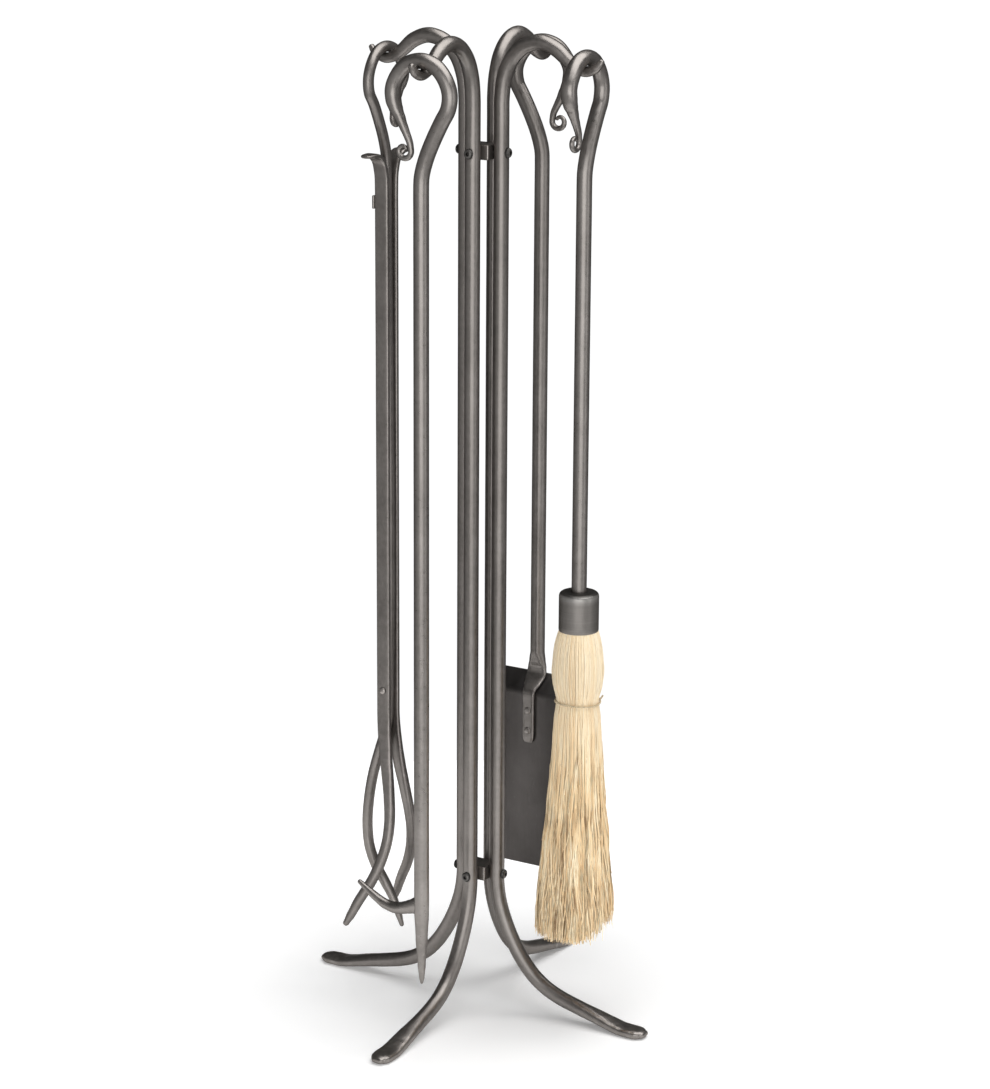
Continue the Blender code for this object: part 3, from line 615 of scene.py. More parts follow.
# ---- stand
def upright(leg):
    """One bar, bent into a hammered foot, a leg, a straight upright and a hook."""
    r, s = BAR_R, HOOK_SEAT_R
    low = FOOT_HALF_T - 0.0004
    w, t = FOOT_HALF_W, FOOT_HALF_T
    foot = [
        (FOOT_R + 0.0004, low, w * 0.62, t * 0.8, 2.6, 0.00012),
        (FOOT_R - 0.001, low, w * 0.82, t * 0.92, 2.8, 0.0002),
        (FOOT_R - 0.004, low, w * 0.96, t * 0.99, 3.0, 0.0003),
        (FOOT_R - 0.01, low, w * 1.00, t, 3.1, 0.00034),
        (0.14, low + 0.0002, w, t, 3.1, 0.00034),
        (0.13, 0.0054, w * 0.95, 0.0042, 2.9, 0.0003),
        (0.118, 0.0084, 0.0082, 0.0048, 2.5, 0.0002),
        (0.105, 0.0113, 0.0071, 0.0055, 2.2, 0.00007),
        (0.092, 0.0144, 0.0064, 0.006, 2.0, 0.00003),
        (0.078, 0.0183, r, r, 2.0, 0.00002),
    ]
    bends = [(0.066, 0.0233), (0.054, 0.0314), (0.043, 0.043), (0.033, 0.058), (0.0245, 0.0755),
             (0.019, 0.092), (CIRCLE_R, 0.1085), (CIRCLE_R, 0.125), (CIRCLE_R, 0.75),
             (CIRCLE_R, 0.764), (0.019, 0.782), (0.0255, 0.7965), (0.037, 0.807), (0.052, 0.8107)]
    hook = [
        (0.065, 0.8065, r * 0.97, r * 0.97, 2.0, 0.00004),
        (0.0768, 0.7973, r * 0.88, r * 0.88, 2.0, 0.00004),
        (0.0848, 0.792, s, s, 2.0, 0.00004),
        (HOOK_SEAT[0], HOOK_SEAT[1], s, s, 2.0, 0.00003),
        (0.0992, 0.7924, s * 0.85, s * 0.85, 2.2, 0.00005),
        (0.1045, 0.7966, s * 0.62, s * 0.62, 2.6, 0.00004),
        (0.106, 0.799, s * 0.48, s * 0.48, 3.2, 0.00003),
    ]
    path = foot + [(*p, r, r, 2.0, PLAIN) for p in bends] + hook
    out, side = directions(leg)
    node = "upright_" + leg
    obj = bar(node + "_bar", outward_rows(leg, path), side, IRON, floor=0.0, round_end=0.7)
    for height in BOLT_Z.values():
        start = place(leg, CIRCLE_R - BAR_R - 0.004, 0.0, height)
        drill(obj, SCREW_HOLE_R, 2.0 * BAR_R + 0.008, start, out)
        seat = place(leg, CIRCLE_R + BAR_R - 0.0007, 0.0, height)
        drill(obj, 0.0045, 0.004, seat, out, flare=0.0003)
    settle(obj, "stand", "forged_iron", node)


def screw(leg, level):
    """Button-head screw with a hexagon socket."""
    out = directions(leg)[0]
    node = "bolt_" + level + "_" + leg
    under = CIRCLE_R + BAR_R - 0.0007 + GAP
    start, head = 0.005, 0.004
    shank = under - start
    origin = out * start + UP * BOLT_Z[level]
    profile = [(0.0, 0.0), (0.002, 0.0), (0.0025, 0.0005), (0.0025, shank - 0.0003), (0.0027, shank),
               (head - 0.0002, shank), (head, shank + 0.0002), (head, shank + 0.0006)]
    worn = []
    for k in range(1, 8):
        angle = radians(90.0 * k / 8)
        rise = 0.0006 + 0.0021 * sin(angle)
        profile.append((head * (0.42 + 0.58 * cos(angle)), shank + rise))
        worn.append(len(profile) - 1)
    profile += [(0.0018, shank + 0.0028), (0.00155, shank + 0.0027), (0.0014, shank + 0.0024),
                (0.0014, shank + 0.001), (0.0, shank + 0.0007)]
    obj = turned(node + "_screw", profile, origin, out, BLACK, wear_at=worn[-3:])
    hexagon(obj, origin, out, shank + 0.0006)
    settle(obj, "stand", "bolt_steel", node)


def hexagon(obj, origin, axis, above):
    """Press the round socket of a screw head into six flats."""
    u = axis.cross(UP).normalized()
    for vert in obj.data.vertices:
        local = vert.co - origin
        depth = local.dot(axis)
        flat = local - axis * depth
        if depth > above and 0.0 < flat.length < 0.0016:
            angle = atan2(flat.dot(UP), flat.dot(u)) % (pi / 3.0) - pi / 6.0
            vert.co = origin + axis * depth + flat.normalized() * 0.00128 / cos(angle)


def spacer(node):
    """Square block between the uprights, its corners dressed with a file."""
    out, side = directions("front_left")
    low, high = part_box(node)
    half = CIRCLE_R - BAR_R - GAP
    size = (2 * half, 2 * half, high.z - low.z)
    obj = block(node + "_block", (low + high) / 2, (out, side, UP), size, IRON, 0.0009)
    for leg in LEGS:
        way = directions(leg)[0]
        drill(obj, SCREW_HOLE_R, half, (low + high) / 2 + way * 0.0045, way)
    settle(obj, "stand", "forged_iron", node)


# ---- loop handle
def loop_top(r):
    return HOOK_SEAT[1] + HOOK_SEAT_R + GAP + r


def loop(leg, r, lift):
    """Stations of the loop: from the shaft, over the hook, and down to the scroll at its free end."""
    w = LOOP_HALF
    top = loop_top(r)
    crown = top - 0.012
    drop = crown - TAIL_Z - lift
    struck = 0.00007
    rise = [(0.0004, 0.01), (0.004, 0.0235), (0.011, 0.0395), (0.019, 0.0545)]
    arch = [(w - 0.0012, 0.0355), (w + 0.0002, 0.024), (w - 0.0045, 0.012), (w * 0.48, 0.0032),
            (0.0, 0.0), (-w * 0.48, 0.0032)]
    path = [(x, LOOP_FOOT_Z + above, r, r, 2.0, PLAIN) for x, above in rise]
    path += [(x, top - below, r, r, 2.0, PLAIN) for x, below in arch]
    path += [
        (-w + 0.0045, crown, r * 1.02, r * 0.98, 2.1, PLAIN),
        (-w - 0.0002, crown - drop * 0.226, r * 1.03, r * 0.98, 2.2, struck),
        (-w + 0.0004, crown - drop * 0.374, r * 1.02, r * 0.92, 2.4, 0.00012),
        (-w + 0.0026, crown - drop * 0.502, r * 0.92, r * 0.8, 2.4, 0.00012),
        (-w + 0.0056, crown - drop * 0.61, r * 0.74, r * 0.66, 2.3, struck),
        (-0.016, crown - drop * 0.764, 0.0037, 0.0033, 2.1, 0.00004),
        (-0.0128, crown - drop * 0.892, 0.0032, 0.0029, 2.0, PLAIN),
        (-0.0104, crown - drop, 0.0028, 0.0027, 2.0, PLAIN),
    ]
    turns = [(20, 1.00, 0.0025), (-10, 1.00, 0.0024), (-45, 0.98, 0.0024), (-90, 0.94, 0.0023),
             (-135, 0.9, 0.0022), (-180, 0.84, 0.0021), (-225, 0.73, 0.0018), (-270, 0.57, 0.0016),
             (-305, 0.42, 0.0015)]
    for bearing, part, wire in turns:
        angle = radians(bearing)
        across = CURL[0] + CURL_R * part * cos(angle)
        height = CURL[1] + lift + CURL_R * part * sin(angle)
        path.append((across, height, wire, wire, 2.0, PLAIN))
    return across_rows(leg, path)


def shaft(leg, rows):
    """Stations on a tool's straight shaft: rows are (height, ...)."""
    return across_rows(leg, [(0.0, *row) for row in rows])


def plain_shaft(r):
    return [(LOOP_FOOT_Z - 0.01, r, r, 2.0, PLAIN), (LOOP_FOOT_Z, r, r, 2.0, PLAIN)]


# ---- poker
def poker():
    leg = "front_left"
    out = directions(leg)[0]
    r, z = BAR_R, POKER_TIP_Z
    rows = shaft(leg, [
        (z, 0.0013, 0.0013, 2.0, 0.00003),
        (z + 0.004, 0.0022, 0.0022, 2.1, 0.00005),
        (z + 0.016, 0.0033, 0.0033, 2.2, 0.00007),
        (z + 0.04, 0.0049, 0.0049, 2.3, 0.0001),
        (z + 0.062, 0.0059, 0.0059, 2.2, 0.00008),
        (z + 0.08, r, r, 2.0, 0.00003),
    ] + plain_shaft(r))
    obj = bar("poker_bar", rows + loop(leg, r, 0.0), out, BRIGHT)
    settle(obj, "poker", "forged_iron_bright", "poker_rod")
    path = [
        (-0.0018, BARB_Z + 0.0006, 0.0053, 0.0086, 2.2, 0.00006),
        (-0.0056, BARB_Z - 0.0004, 0.0051, 0.007, 2.2, 0.0001),
        (-0.0105, BARB_Z - 0.002, 0.005, 0.0058, 2.1, 0.00012),
        (-0.016, BARB_Z - 0.004, 0.0049, 0.0052, 2.1, 0.0001),
        (-0.024, BARB_Z - 0.006, 0.0047, 0.0049, 2.0, 0.00006),
        (-0.034, BARB_Z - 0.0052, 0.0042, 0.0043, 2.0, 0.00005),
        (-0.0455, BARB_Z + 0.0000, 0.0034, 0.0035, 2.0, 0.00005),
        (-0.0545, BARB_Z + 0.0056, 0.0026, 0.0026, 2.0, 0.00005),
        (-0.0605, BARB_Z + 0.0094, 0.002, 0.002, 2.0, 0.00003),
    ]
    barb = bar("poker_barb_horn", across_rows(leg, path), out, BRIGHT)
    drill(barb, r, 0.05, place(leg, TOOL_R, 0.0, BARB_Z - 0.025), UP, BRIGHT)
    settle(barb, "poker", "forged_iron_bright", "poker_barb")


# ---- tongs
def tongs():
    leg = "back_left"
    out, side = directions(leg)
    r = TONGS_R
    claw = [(0.05, -0.0128, 0.002, 0.00004), (0.0585, -0.0098, 0.0029, 0.00006),
            (0.073, -0.0038, 0.0038, 0.00006), (0.086, 0.0044, 0.0043, 0.00005),
            (0.1, 0.0138, r, 0.00003), (0.115, 0.0198, r, 0.00003), (0.133, 0.0219, r, 0.00003),
            (0.156, 0.0205, r, 0.00003), (0.179, 0.0165, r, 0.00003), (0.203, 0.0095, r, 0.00003),
            (0.22, 0.004, r, 0.00003), (0.236, 0.0004, r, 0.00003), (0.248, 0.0, r, 0.00003)]
    rows = outward_rows(leg, [(TOOL_R + o, z, wide, wide, 2.0, marks) for z, o, wide, marks in claw])
    rows += shaft(leg, plain_shaft(r))
    rod = bar("tongs_bar", rows + loop(leg, r, TONGS_TAIL_LIFT), out, IRON)
    drill(rod, RIVET_HOLE_R, 0.024, PIVOT - side * 0.012, side)
    settle(rod, "tongs", "forged_iron", "tongs_rod")
    for node, sign in (("tongs_arm_front", 1.0), ("tongs_arm_back", -1.0)):
        arm = tongs_arm(node, leg, sign)
        drill(arm, RIVET_HOLE_R, 0.012, PIVOT + side * sign * 0.002, side * sign)
        settle(arm, "tongs_arms", "forged_iron", node)
    face = ARM_T + ARM_HALF_T + GAP
    pin = rivet("tongs_pivot_rivet", PIVOT, side, (-face, face), (0.003, 0.0014, 0.0002), range(5),
                (0.00012, 0.0022))
    settle(pin, "tongs_arms", "forged_iron", "tongs_pivot_pin")
    strap(leg, out, side)


def tongs_arm(node, leg, sign):
    """Flat bar with a thumb rest at its top and a rounded claw at its foot."""
    w, t = ARM_HALF_W, ARM_HALF_T
    rows = [
        (0.0185, 0.039, 0.058, 0.0027, 0.0027, 2.0, 0.00004),
        (0.015, 0.0365, 0.0655, 0.0038, 0.0036, 2.0, 0.00006),
        (0.0092, 0.0335, 0.078, 0.0043, 0.004, 2.0, 0.00006),
        (-0.0005, 0.0285, 0.096, 0.0046, 0.0042, 2.0, 0.00005),
        (-0.0072, 0.0236, 0.114, 0.0046, 0.0042, 2.1, 0.00005),
        (-0.0107, 0.019, 0.132, 0.0046, 0.0041, 2.2, 0.00005),
        (-0.0108, 0.0154, 0.149, 0.0046, 0.004, 2.4, 0.00005),
        (-0.0086, 0.0125, 0.168, 0.0048, 0.0037, 2.7, 0.00007),
        (-0.0046, 0.0096, 0.193, 0.0054, 0.0031, 3.2, 0.00009),
        (-0.0014, 0.0078, 0.217, 0.006, 0.0024, 4.0, 0.00009),
        (0.0, ARM_T, 0.238, w, t, 5.0, 0.00005),
        (0.0, ARM_T, 0.252, w, t, 5.0, 0.00003),
        (0.0, ARM_T, ARM_TOP_Z - 0.05, w, t, 5.0, 0.00003),
        (0.0, ARM_T, ARM_TOP_Z - 0.03, w, t, 5.0, 0.00003),
        (0.0, ARM_T + 0.0011, ARM_TOP_Z - 0.015, w, t, 5.0, 0.00003),
        (0.0, ARM_T + 0.0052, ARM_TOP_Z - 0.0048, w, t, 5.0, 0.00005),
        (0.0, ARM_T + 0.012, ARM_TOP_Z - 0.0004, w, t * 0.95, 4.5, 0.0001),
        (0.0, ARM_T + 0.019, ARM_TOP_Z, w * 0.98, t * 0.85, 4.0, 0.00012),
        (0.0, ARM_T + 0.0226, ARM_TOP_Z, w * 0.84, t * 0.75, 3.2, 0.0001),
        (0.0, ARM_T + 0.0238, ARM_TOP_Z, w * 0.62, t * 0.7, 2.8, 0.00006),
    ]
    stations = [(*place(leg, TOOL_R + o, sign * s, z), *rest) for o, s, z, *rest in rows]
    return bar(node + "_bar", stations, directions(leg)[0], IRON, sides=28)


def strap(leg, out, side):
    """Short strap across the outer edges of the tongs' two arms."""
    low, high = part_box("tongs_strap")
    near = TOOL_R + ARM_HALF_W + GAP
    centre = place(leg, near + 0.0011, 0.0, STRAP_Z)
    size = (0.0022, 2 * (ARM_T + ARM_HALF_T), high.z - low.z)
    obj = block("tongs_strap_plate", centre, (out, side, UP), size, IRON, 0.0008)
    settle(obj, "tongs_arms", "forged_iron", "tongs_strap")


# ---- shovel
def shovel():
    leg = "back_right"
    out = directions(leg)[0]
    r, t, low = BAR_R, TAB_T / 2, TAB_R
    hit = 0.00016
    path = [
        (low, 0.2085, 0.004, t * 0.9, 3.0, 0.00008),
        (low, 0.2105, 0.005, t, 3.4, hit),
        (low, 0.215, 0.0054, t, 3.8, hit),
        (low, 0.244, 0.0054, t, 3.8, hit),
        (low - 0.0001, 0.249, 0.0055, t, 4.0, 0.0001),
        (low + 0.0001, 0.2518, 0.0057, t, 4.0, 0.0001),
        (low + 0.002, 0.2541, 0.0061, t, 4.0, 0.00012),
        (low + 0.0066, 0.2584, 0.0078, t, 3.8, hit),
        (low + 0.0108, 0.2624, 0.009, t, 3.5, hit),
        (low + 0.0134, 0.266, 0.0093, t * 1.05, 3.3, hit),
        (TOOL_R - 0.0001, 0.2712, 0.0088, t * 1.3, 3.0, hit),
        (TOOL_R, 0.2775, 0.0073, 0.0045, 2.4, hit),
        (TOOL_R, 0.285, r, r, 2.0, 0.00008),
        (TOOL_R, 0.295, r, r, 2.0, 0.00003),
    ]
    swapped = [(radius, z, thick, wide, *rest) for radius, z, wide, thick, *rest in path]
    rows = outward_rows(leg, swapped)
    rows += shaft(leg, plain_shaft(r))
    rod = bar("shovel_bar", rows + loop(leg, r, TAIL_LIFT), out, IRON)
    pan = shovel_pan(leg)
    for i in (1, 2):
        node = "shovel_rivet_%d" % i
        height = middle(node).z
        start = out * (TAB_R - 0.006) + UP * height
        for piece in (rod, pan):
            drill(piece, RIVET_HOLE_R, 0.014, start, out)
        span = (TAB_R - TAB_T / 2 - GAP, PAN_R + PAN_WALL / 2 + GAP)
        pin = rivet(node + "_head", UP * height, out, span, (0.0031, 0.001, 0.0001), (1, 2),
                    (0.00018, 0.0018))
        settle(pin, "shovel", "forged_iron", node)
    settle(rod, "shovel", "forged_iron", "shovel_rod")
    settle(pan, "shovel", "sheet_steel", "shovel_pan")


def shovel_pan(leg):
    """Folded sheet with rounded folds, a sloping back and side walls that fall towards the lip."""
    w, top, lip = PAN_HALF_W, PAN_TOP_Z, PAN_LIP_Z
    rim = (PAN_R + 0.0155, top + 0.015)
    points = {
        "sheet_top": (PAN_R, top),
        "sheet_lip": (PAN_R, lip),
        "rim": rim,
        "wall_lip": (PAN_R + 0.0035, lip + 0.02),
        "wall_top": (rim[0] + 0.005, top - 0.004),
    }
    bm = bmesh.new()
    left = {k: bm.verts.new(place(leg, p[0], w, p[1])) for k, p in points.items()}
    right = {k: bm.verts.new(place(leg, p[0], -w, p[1])) for k, p in points.items()}
    bm.faces.new([left["sheet_lip"], right["sheet_lip"], right["sheet_top"], left["sheet_top"]])
    bm.faces.new([left["sheet_top"], right["sheet_top"], right["rim"], left["rim"]])
    for edge in (left, right):
        bm.faces.new([edge[k] for k in ("sheet_lip", "sheet_top", "rim", "wall_top", "wall_lip")])
    bmesh.ops.recalc_face_normals(bm, faces=bm.faces)
    folds = [e for e in bm.edges if len(e.link_faces) == 2]
    bmesh.ops.bevel(bm, geom=folds, offset=0.0028, segments=5, affect="EDGES", profile=0.5)
    obj = from_bmesh("shovel_pan_sheet", bm, SHEET)
    modify(obj, "SOLIDIFY", thickness=PAN_WALL, offset=0.0, use_even_offset=True)
    modify(obj, "BEVEL", width=0.0005, segments=3, limit_method="ANGLE",
           angle_limit=radians(50.0))
    bake_modifiers(obj)
    soften(obj, 30.0)
    mark_rim(obj.data)
    return obj


def mark_rim(mesh):
    """Wear along the sheet's cut edges, which are the vertices between two or more short edges."""
    short = [0] * len(mesh.vertices)
    for edge in mesh.edges:
        a, b = edge.vertices
        if (mesh.vertices[a].co - mesh.vertices[b].co).length < 0.0007:
            short[a] += 1
            short[b] += 1
    layer = mesh.attributes.new("wear", "FLOAT", "POINT")
    layer.data.foreach_set("value", [1.0 if count >= 2 else 0.0 for count in short])


# ---- broom
# height and radius of the straw bundle
PROFILE = [(0.3415, 0.0163), (0.337, 0.0176), (0.33, 0.0195), (0.321, 0.0206), (0.308, 0.0217),
           (0.295, 0.0205), (0.287, 0.0182), (0.2835, 0.0173), (0.2795, 0.0173), (0.271, 0.0192),
           (0.248, 0.0203), (0.224, 0.0217), (0.193, 0.0236), (0.156, 0.027), (0.123, 0.03),
           (0.098, 0.0318), (0.08, 0.0322)]

HEART = place("front_right", TOOL_R, 0.0, 0.0)    # the broom's axis
WORN_SIDE = radians(-20.0)                   # the side that sweeping has worn


def bundle(z):
    """Radius of the straw bundle at a height."""
    if z >= PROFILE[0][0]:
        return STRAW_NECK_R
    for (high, a), (low, b) in zip(PROFILE[:-1], PROFILE[1:]):
        if low <= z <= high:
            u = (high - z) / (high - low)
            return a + (b - a) * u * u * (3.0 - 2.0 * u)
    return PROFILE[-1][1]


class Strands:
    """Many closed thin tubes, gathered into one mesh."""

    def __init__(self):
        self.verts, self.faces, self.tint = [], [], []

    def add(self, points, radii, tint, sides=4, flat=0.7):
        base = len(self.verts)
        count = len(points)
        for i, (point, radius) in enumerate(zip(points, radii)):
            heading = (points[min(i + 1, count - 1)] - points[max(i - 1, 0)]).normalized()
            side = heading.orthogonal().normalized() if abs(heading.z) < 0.05 else heading.cross(
                Vector((point.x - HEART.x, point.y - HEART.y, 0.0))).normalized()
            up = heading.cross(side)
            for k in range(sides):
                angle = TURN * k / sides
                around = side * cos(angle) + up * sin(angle) * flat
                self.verts.append(tuple(point + around * radius))
                self.tint.append(tint)
        self.faces += tube_faces(base, count, sides)


def strand_points(rng, angle, depth, start, end, steps, loose, lean=0.7):
    """A stalk's run from one height to another, under the bundle's skin by the given depth."""
    points = []
    drift = rng.uniform(-1.0, 1.0) * loose
    phase = rng.uniform(0.0, 60.0)
    for i in range(steps + 1):
        u = i / steps
        z = start + (end - start) * u
        below = max(0.0, TIE.z - z)
        sway = noise.noise(Vector((phase, z * 26.0, 0.0))) * (0.05 + below * 2.2) * loose
        swell = noise.noise(Vector((phase, 40.0, z * 30.0))) * (0.0004 + below * 0.012) * loose
        theta = angle + drift * below * lean + sway * 0.35
        radius = bundle(z) * (1.0 - depth) + min(swell, 0.002) - 0.0004
        radius = min(radius, bundle(z) + 0.0014 * loose * min(1.0, below * 12.0))
        points.append(HEART + level_way(theta) * radius + UP * z)
    return points


def worn_end(rng, angle):
    """Height of a stalk's end: ragged, and worn away towards one side of the broom."""
    side = max(0.0, cos(angle - WORN_SIDE) - 0.25) / 0.75
    return STRAW[0].z + abs(rng.gauss(0.0, 0.0045)) + 0.016 * side ** 1.6


def shade_of(rng):
    """A stalk's own shade: most are light, some are brown or grey."""
    pick = rng.random()
    if pick < 0.25:
        return rng.uniform(0.0, 0.22)
    if pick < 0.42:
        return rng.uniform(0.22, 0.45)
    return rng.uniform(0.5, 1.0)


def neck_stalks(straws, rng, top):
    for layer, count in ((0.0, 128), (0.045, 128), (0.1, 100)):
        for k in range(count):
            angle = TURN * (k + rng.uniform(-0.45, 0.45)) / count
            steps = 20
            end = rng.uniform(0.135, 0.235)
            points = strand_points(rng, angle, layer + rng.uniform(0.0, 0.025), top, end, steps, 0.6)
            wide = rng.uniform(0.00046, 0.00066)
            radii = [wide * (1.0 - 0.45 * (i / steps) ** 2) for i in range(steps + 1)]
            straws.add(points, radii, rng.betavariate(4.0, 2.2), sides=5)


def skirt_stalks(straws, rng):
    for layer, count in ((0.0, 430), (0.035, 470), (0.075, 420), (0.13, 300)):
        for k in range(count):
            angle = TURN * (k + rng.uniform(-0.5, 0.5)) / count
            end = worn_end(rng, angle) + (rng.uniform(0.0, 0.06) if rng.random() < 0.22 else 0.0)
            steps = 10
            lean = 2.6 if rng.random() < 0.25 else 0.9
            depth = layer + rng.uniform(0.0, 0.03)
            points = strand_points(rng, angle, depth, rng.uniform(0.165, 0.279), end, steps, 1.0, lean)
            thick = rng.random() < 0.22
            wide = rng.uniform(0.00055, 0.00085) if thick else rng.uniform(0.0003, 0.00054)
            radii = [wide * (0.45 + 0.55 * min(1.0, 4.0 * i / steps)) * (1.0 - 0.55 * (i / steps) ** 3)
                     for i in range(steps + 1)]
            straws.add(points, radii, shade_of(rng))


def stray_stalks(straws, rng):
    """Loose stalks that cross the skirt, and the thick ends inside it."""
    for _ in range(240):
        angle = rng.uniform(0.0, TURN)
        start = rng.uniform(0.125, 0.25)
        end = max(worn_end(rng, angle), start - rng.uniform(0.035, 0.085))
        points = strand_points(rng, angle, rng.uniform(-0.035, 0.01), start, end, 7, 1.3, 5.0)
        wide = rng.uniform(0.00032, 0.00056)
        radii = [wide * part for part in (0.3, 0.8, 1.0, 1.0, 1.0, 0.9, 0.7, 0.35)]
        straws.add(points, radii, shade_of(rng))
    for _ in range(620):
        angle = rng.uniform(0.0, TURN)
        depth = 1.0 - sqrt(rng.uniform(0.02, 0.85))
        end = worn_end(rng, angle)
        points = strand_points(rng, angle, depth, STRAW[0].z + 0.045, end, 4, 0.8)
        wide = rng.uniform(0.00045, 0.0007)
        straws.add(points, [wide, wide, wide * 0.95, wide * 0.85, wide * 0.6], shade_of(rng))


def bristles():
    rng = random.Random(7)
    straws = Strands()
    neck_stalks(straws, rng, FERRULE[0].z + 0.004)
    skirt_stalks(straws, rng)
    stray_stalks(straws, rng)
    heights = [FERRULE[0].z + 0.012, FERRULE[0].z, *[z for z, r in PROFILE[1:-1]], STRAW[0].z + 0.026]
    profile = [(0.0, heights[0])] + [(bundle(z) * 0.86, z) for z in heights] + [(0.0, heights[-1])]
    core = turned("core", profile, HEART, UP, STRAWS, steps=64)
    base = len(straws.verts)
    straws.verts += [tuple(v.co) for v in core.data.vertices]
    straws.tint += [0.3] * len(core.data.vertices)
    straws.faces += [tuple(base + i for i in p.vertices) for p in core.data.polygons]
    bpy.data.objects.remove(core)
    obj = make("broom_straw", straws.verts, straws.faces, STRAWS, tint=straws.tint)
    settle(obj, "broom", "broom_straw", "broom_bristles")


def tie():
    """Two wires twisted round each other and round the straw, their ends twisted off at one side."""
    ring, wire, twists, steps = 0.0184, 0.00042, 34, 420
    knot = radians(-2.0)
    out = level_way(knot)
    along = (out * 0.75 + Vector((0.0, 0.35, 0.75))).normalized()
    u_axis = along.orthogonal().normalized()
    v_axis = along.cross(u_axis)
    start = HEART + out * (ring + 0.0004) + UP * TIE.z
    wires = Strands()
    for phase in (0.0, pi):
        points = []
        for i in range(steps + 1):
            angle = knot + TURN * i / steps
            roll = phase + TURN * twists * i / steps
            radial = level_way(angle)
            centre = HEART + radial * ring + UP * (TIE.z + 0.0006 * sin(2.0 * angle))
            points.append(centre + (radial * cos(roll) + UP * sin(roll)) * wire)
        wires.add(points, [wire] * len(points), 0.5, sides=8, flat=1.0)
        points = []
        for i in range(41):
            roll = phase + TURN * 2.5 * i / 40
            offset = (u_axis * cos(roll) + v_axis * sin(roll)) * wire
            points.append(start + along * 0.004 * i / 40 + offset)
        wires.add(points, [wire] * len(points), 0.5, sides=8, flat=1.0)
    obj = make("broom_tie_wire", wires.verts, wires.faces, WIRE)
    settle(obj, "broom", "tie_wire", "broom_tie")


def ferrule():
    top, low = FERRULE[1].z, FERRULE[0].z
    wide = (FERRULE[1].x - FERRULE[0].x) / 2
    bore, inside = BAR_R + GAP, wide - 0.0015
    profile = [(bore, top - 0.0024), (bore, top - 0.0003), (bore + 0.0003, top)]
    # the lower rows of the shoulder's rounding carry wear: a rubbed rim, and also a painted highlight
    # ring
    worn = []
    for k in range(7):
        angle = radians(90.0 - 15.0 * k)
        radius = wide + 0.004 * (cos(angle) - 1.0)
        profile.append((radius, top + 0.0036 * (sin(angle) - 1.0)))
        if k >= 4:
            worn.append(len(profile) - 1)
    profile += [(wide, top - 0.008), (wide, (top + low) / 2), (wide, low + 0.005),
                (wide, low + 0.0007), (wide - 0.0003, low), (inside + 0.0002, low),
                (inside, low + 0.0003), (inside, top - 0.004), (inside - 0.0016, top - 0.0024)]
    obj = turned("broom_ferrule_cap", profile, HEART, UP, CAP, steps=72, wear_at=worn)
    settle(obj, "broom", "forged_iron_bright", "broom_ferrule")


def broom():
    leg = "front_right"
    r = BAR_R
    top = FERRULE[1].z
    rows = shaft(leg, [(top - 0.016, r * 0.8, r * 0.8, 2.0, 0.0), (top - 0.013, r, r, 2.0, PLAIN)]
                 + plain_shaft(r))
    obj = bar("broom_bar", rows + loop(leg, r, TAIL_LIFT), directions(leg)[0], BRIGHT)
    settle(obj, "broom", "forged_iron_bright", "broom_rod")
    ferrule()
    bristles()
    tie()


# ---- floor, light and camera
VIEW = atan2(-2.33, -0.58)    # direction from the object to the camera
BACKDROP = 1.04                    # brightness of the white behind the set


def floor():
    """A round white table top, small enough for the room to show in the steel above it. It glows as
    painted light, dimmest just off its middle, so a painted shadow pool lies under the stand.
    """
    bm = bmesh.new()
    bmesh.ops.create_circle(bm, cap_ends=True, radius=0.62, segments=96)
    n = Surface("floor_paper")
    cloud = n.noise(1.2, 3.0, 0.5)
    colour = n.ramp(cloud, [(0.3, (0.86, 0.86, 0.86)), (0.7, (0.89, 0.89, 0.89))])
    # painted light and shadow: the glow rises from a dim patch a little off the middle, under the
    # stand, to brightest towards the rim
    moved = n.add("ShaderNodeMapping", {"Vector": n.coords, "Location": (-0.035, 0.0, 0.0)})
    reach = n.add("ShaderNodeVectorMath", {"Vector": moved.outputs["Vector"]}, operation="LENGTH")
    glow = n.remap(reach.outputs["Value"], 0.09, 0.38, 0.14, 0.52)
    n.put(n.shader.inputs["Emission Strength"], glow)
    paper = n.finish(colour, n.remap(cloud, 0.3, 0.7, 0.8, 0.9), Specular_IOR_Level=0.15,
                     Emission_Color=(1.0, 1.0, 1.0, 1.0))
    obj = from_bmesh("floor", bm, paper)
    obj.location.z = -0.0002


def softbox(name, turn, distance, height, size, radiance):
    """Area light that faces the set, turned round it from the camera's side by some degrees."""
    light = bpy.data.lights.new(name, "AREA")
    light.shape = "RECTANGLE"
    light.size, light.size_y = size
    light.energy = radiance * pi * size[0] * size[1]
    obj = show(name, light)
    angle = VIEW + radians(turn)
    obj.location = (distance * cos(angle), distance * sin(angle), height)
    obj.rotation_mode = "QUATERNION"
    obj.rotation_quaternion = (UP * 0.35 - obj.location).to_track_quat("-Z", "Y")


def greys(stops):
    return [(position, (level, level, level)) for position, level in stops]


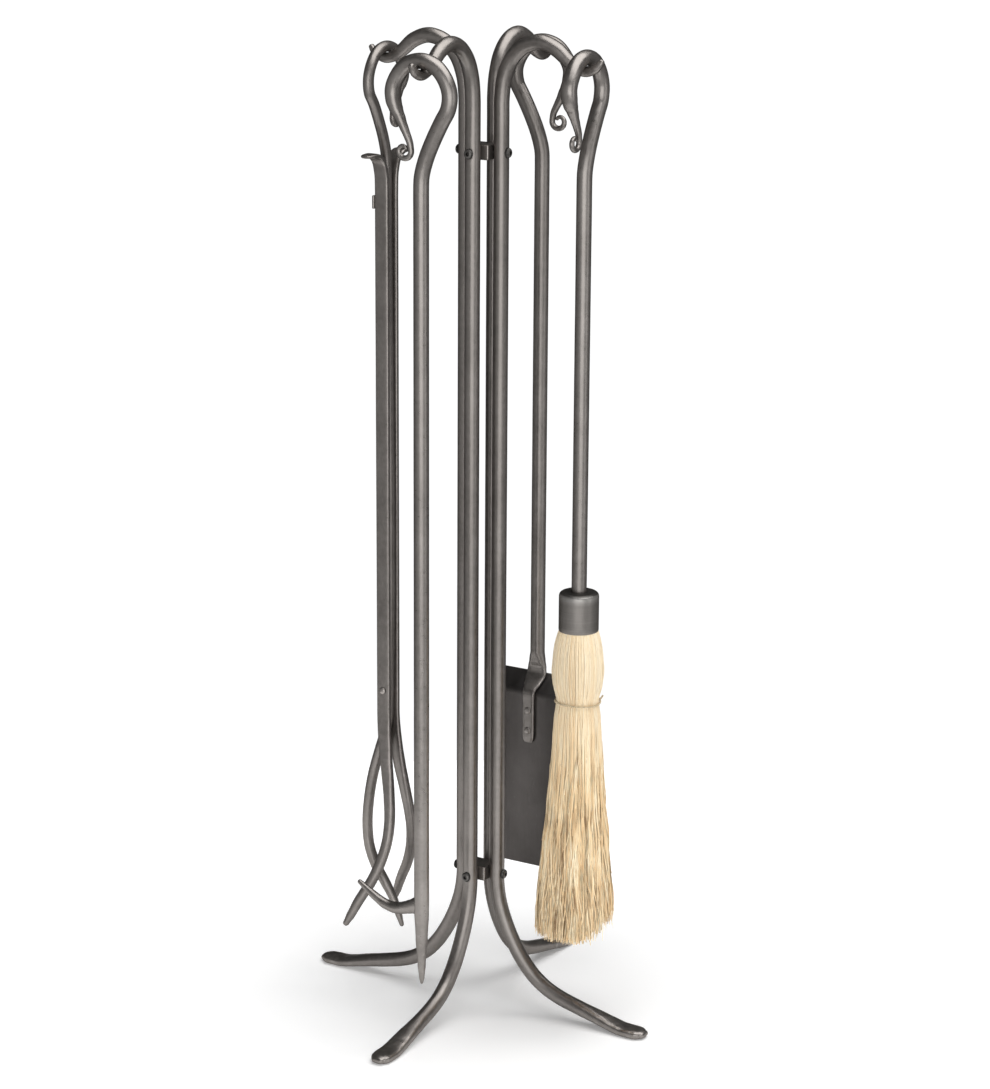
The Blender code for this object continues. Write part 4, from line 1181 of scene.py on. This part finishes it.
def studio():
    """Soft boxes round a pale room that darkens behind the set and overhead."""
    scene = bpy.context.scene
    scene.view_settings.view_transform = "Standard"
    world = bpy.data.worlds.new("studio")
    world.use_nodes = True
    scene.world = world
    n = Nodes(world.node_tree)
    coords = n.add("ShaderNodeTexCoord").outputs["Generated"]
    turn = n.add("ShaderNodeVectorRotate", {"Vector": coords, "Angle": -VIEW}, rotation_type="Z_AXIS")
    way = n.add("ShaderNodeSeparateXYZ", {"Vector": turn.outputs["Vector"]}).outputs
    angle = n.maths("ARCTAN2", way["Y"], way["X"])
    share = n.maths("MULTIPLY_ADD", angle, 0.5 / pi, 0.5)
    around = [(-180, 0.04), (-135, 0.12), (-100, 0.26), (-70, 0.4), (-45, 0.52), (-15, 0.62),
              (15, 0.62), (45, 0.52), (75, 0.36), (105, 0.22), (140, 0.1), (180, 0.04)]
    room = n.ramp(share, greys([(a / 360.0 + 0.5, level) for a, level in around]), "EASE")
    lift = n.maths("MULTIPLY_ADD", way["Z"], 0.5, 0.5)
    overhead = [(0.0, 1.0), (0.58, 1.0), (0.72, 0.4), (0.88, 0.14), (1.0, 0.3)]
    level = n.maths("MULTIPLY", room, n.ramp(lift, greys(overhead), "EASE"))
    seen = n.add("ShaderNodeLightPath").outputs["Is Camera Ray"]
    pick = n.add("ShaderNodeMix", {"Factor": seen, "A": level, "B": BACKDROP})
    shade = n.tree.nodes["Background"]
    n.put(shade.inputs["Strength"], pick.outputs["Result"])
    n.put(shade.inputs["Color"], (1.0, 1.0, 1.0, 1.0))
    softbox("key", 0.0, 3.1, 0.75, (3.0, 2.6), 1.6)
    softbox("fill", 62.0, 3.0, 0.75, (0.8, 2.4), 1.2)
    softbox("top", 75.0, 0.65, 2.6, (2.8, 2.8), 3.1)


def camera():
    data = bpy.data.cameras.new("camera")
    data.sensor_fit = "HORIZONTAL"
    data.sensor_width = 36.0
    data.lens = 111.41
    obj = show("camera", data)
    obj.location = (-0.56962, -2.35635, 1.0481)
    obj.rotation_euler = (1.309528, -0.0055, -0.240144)
    bpy.context.scene.camera = obj


# ---- build
camera()
studio()
floor()
for leg in LEGS:
    upright(leg)
    for level in BOLT_Z:
        screw(leg, level)
for node in ("upper_spacer", "lower_spacer"):
    spacer(node)
poker()
tongs()
shovel()
broom()
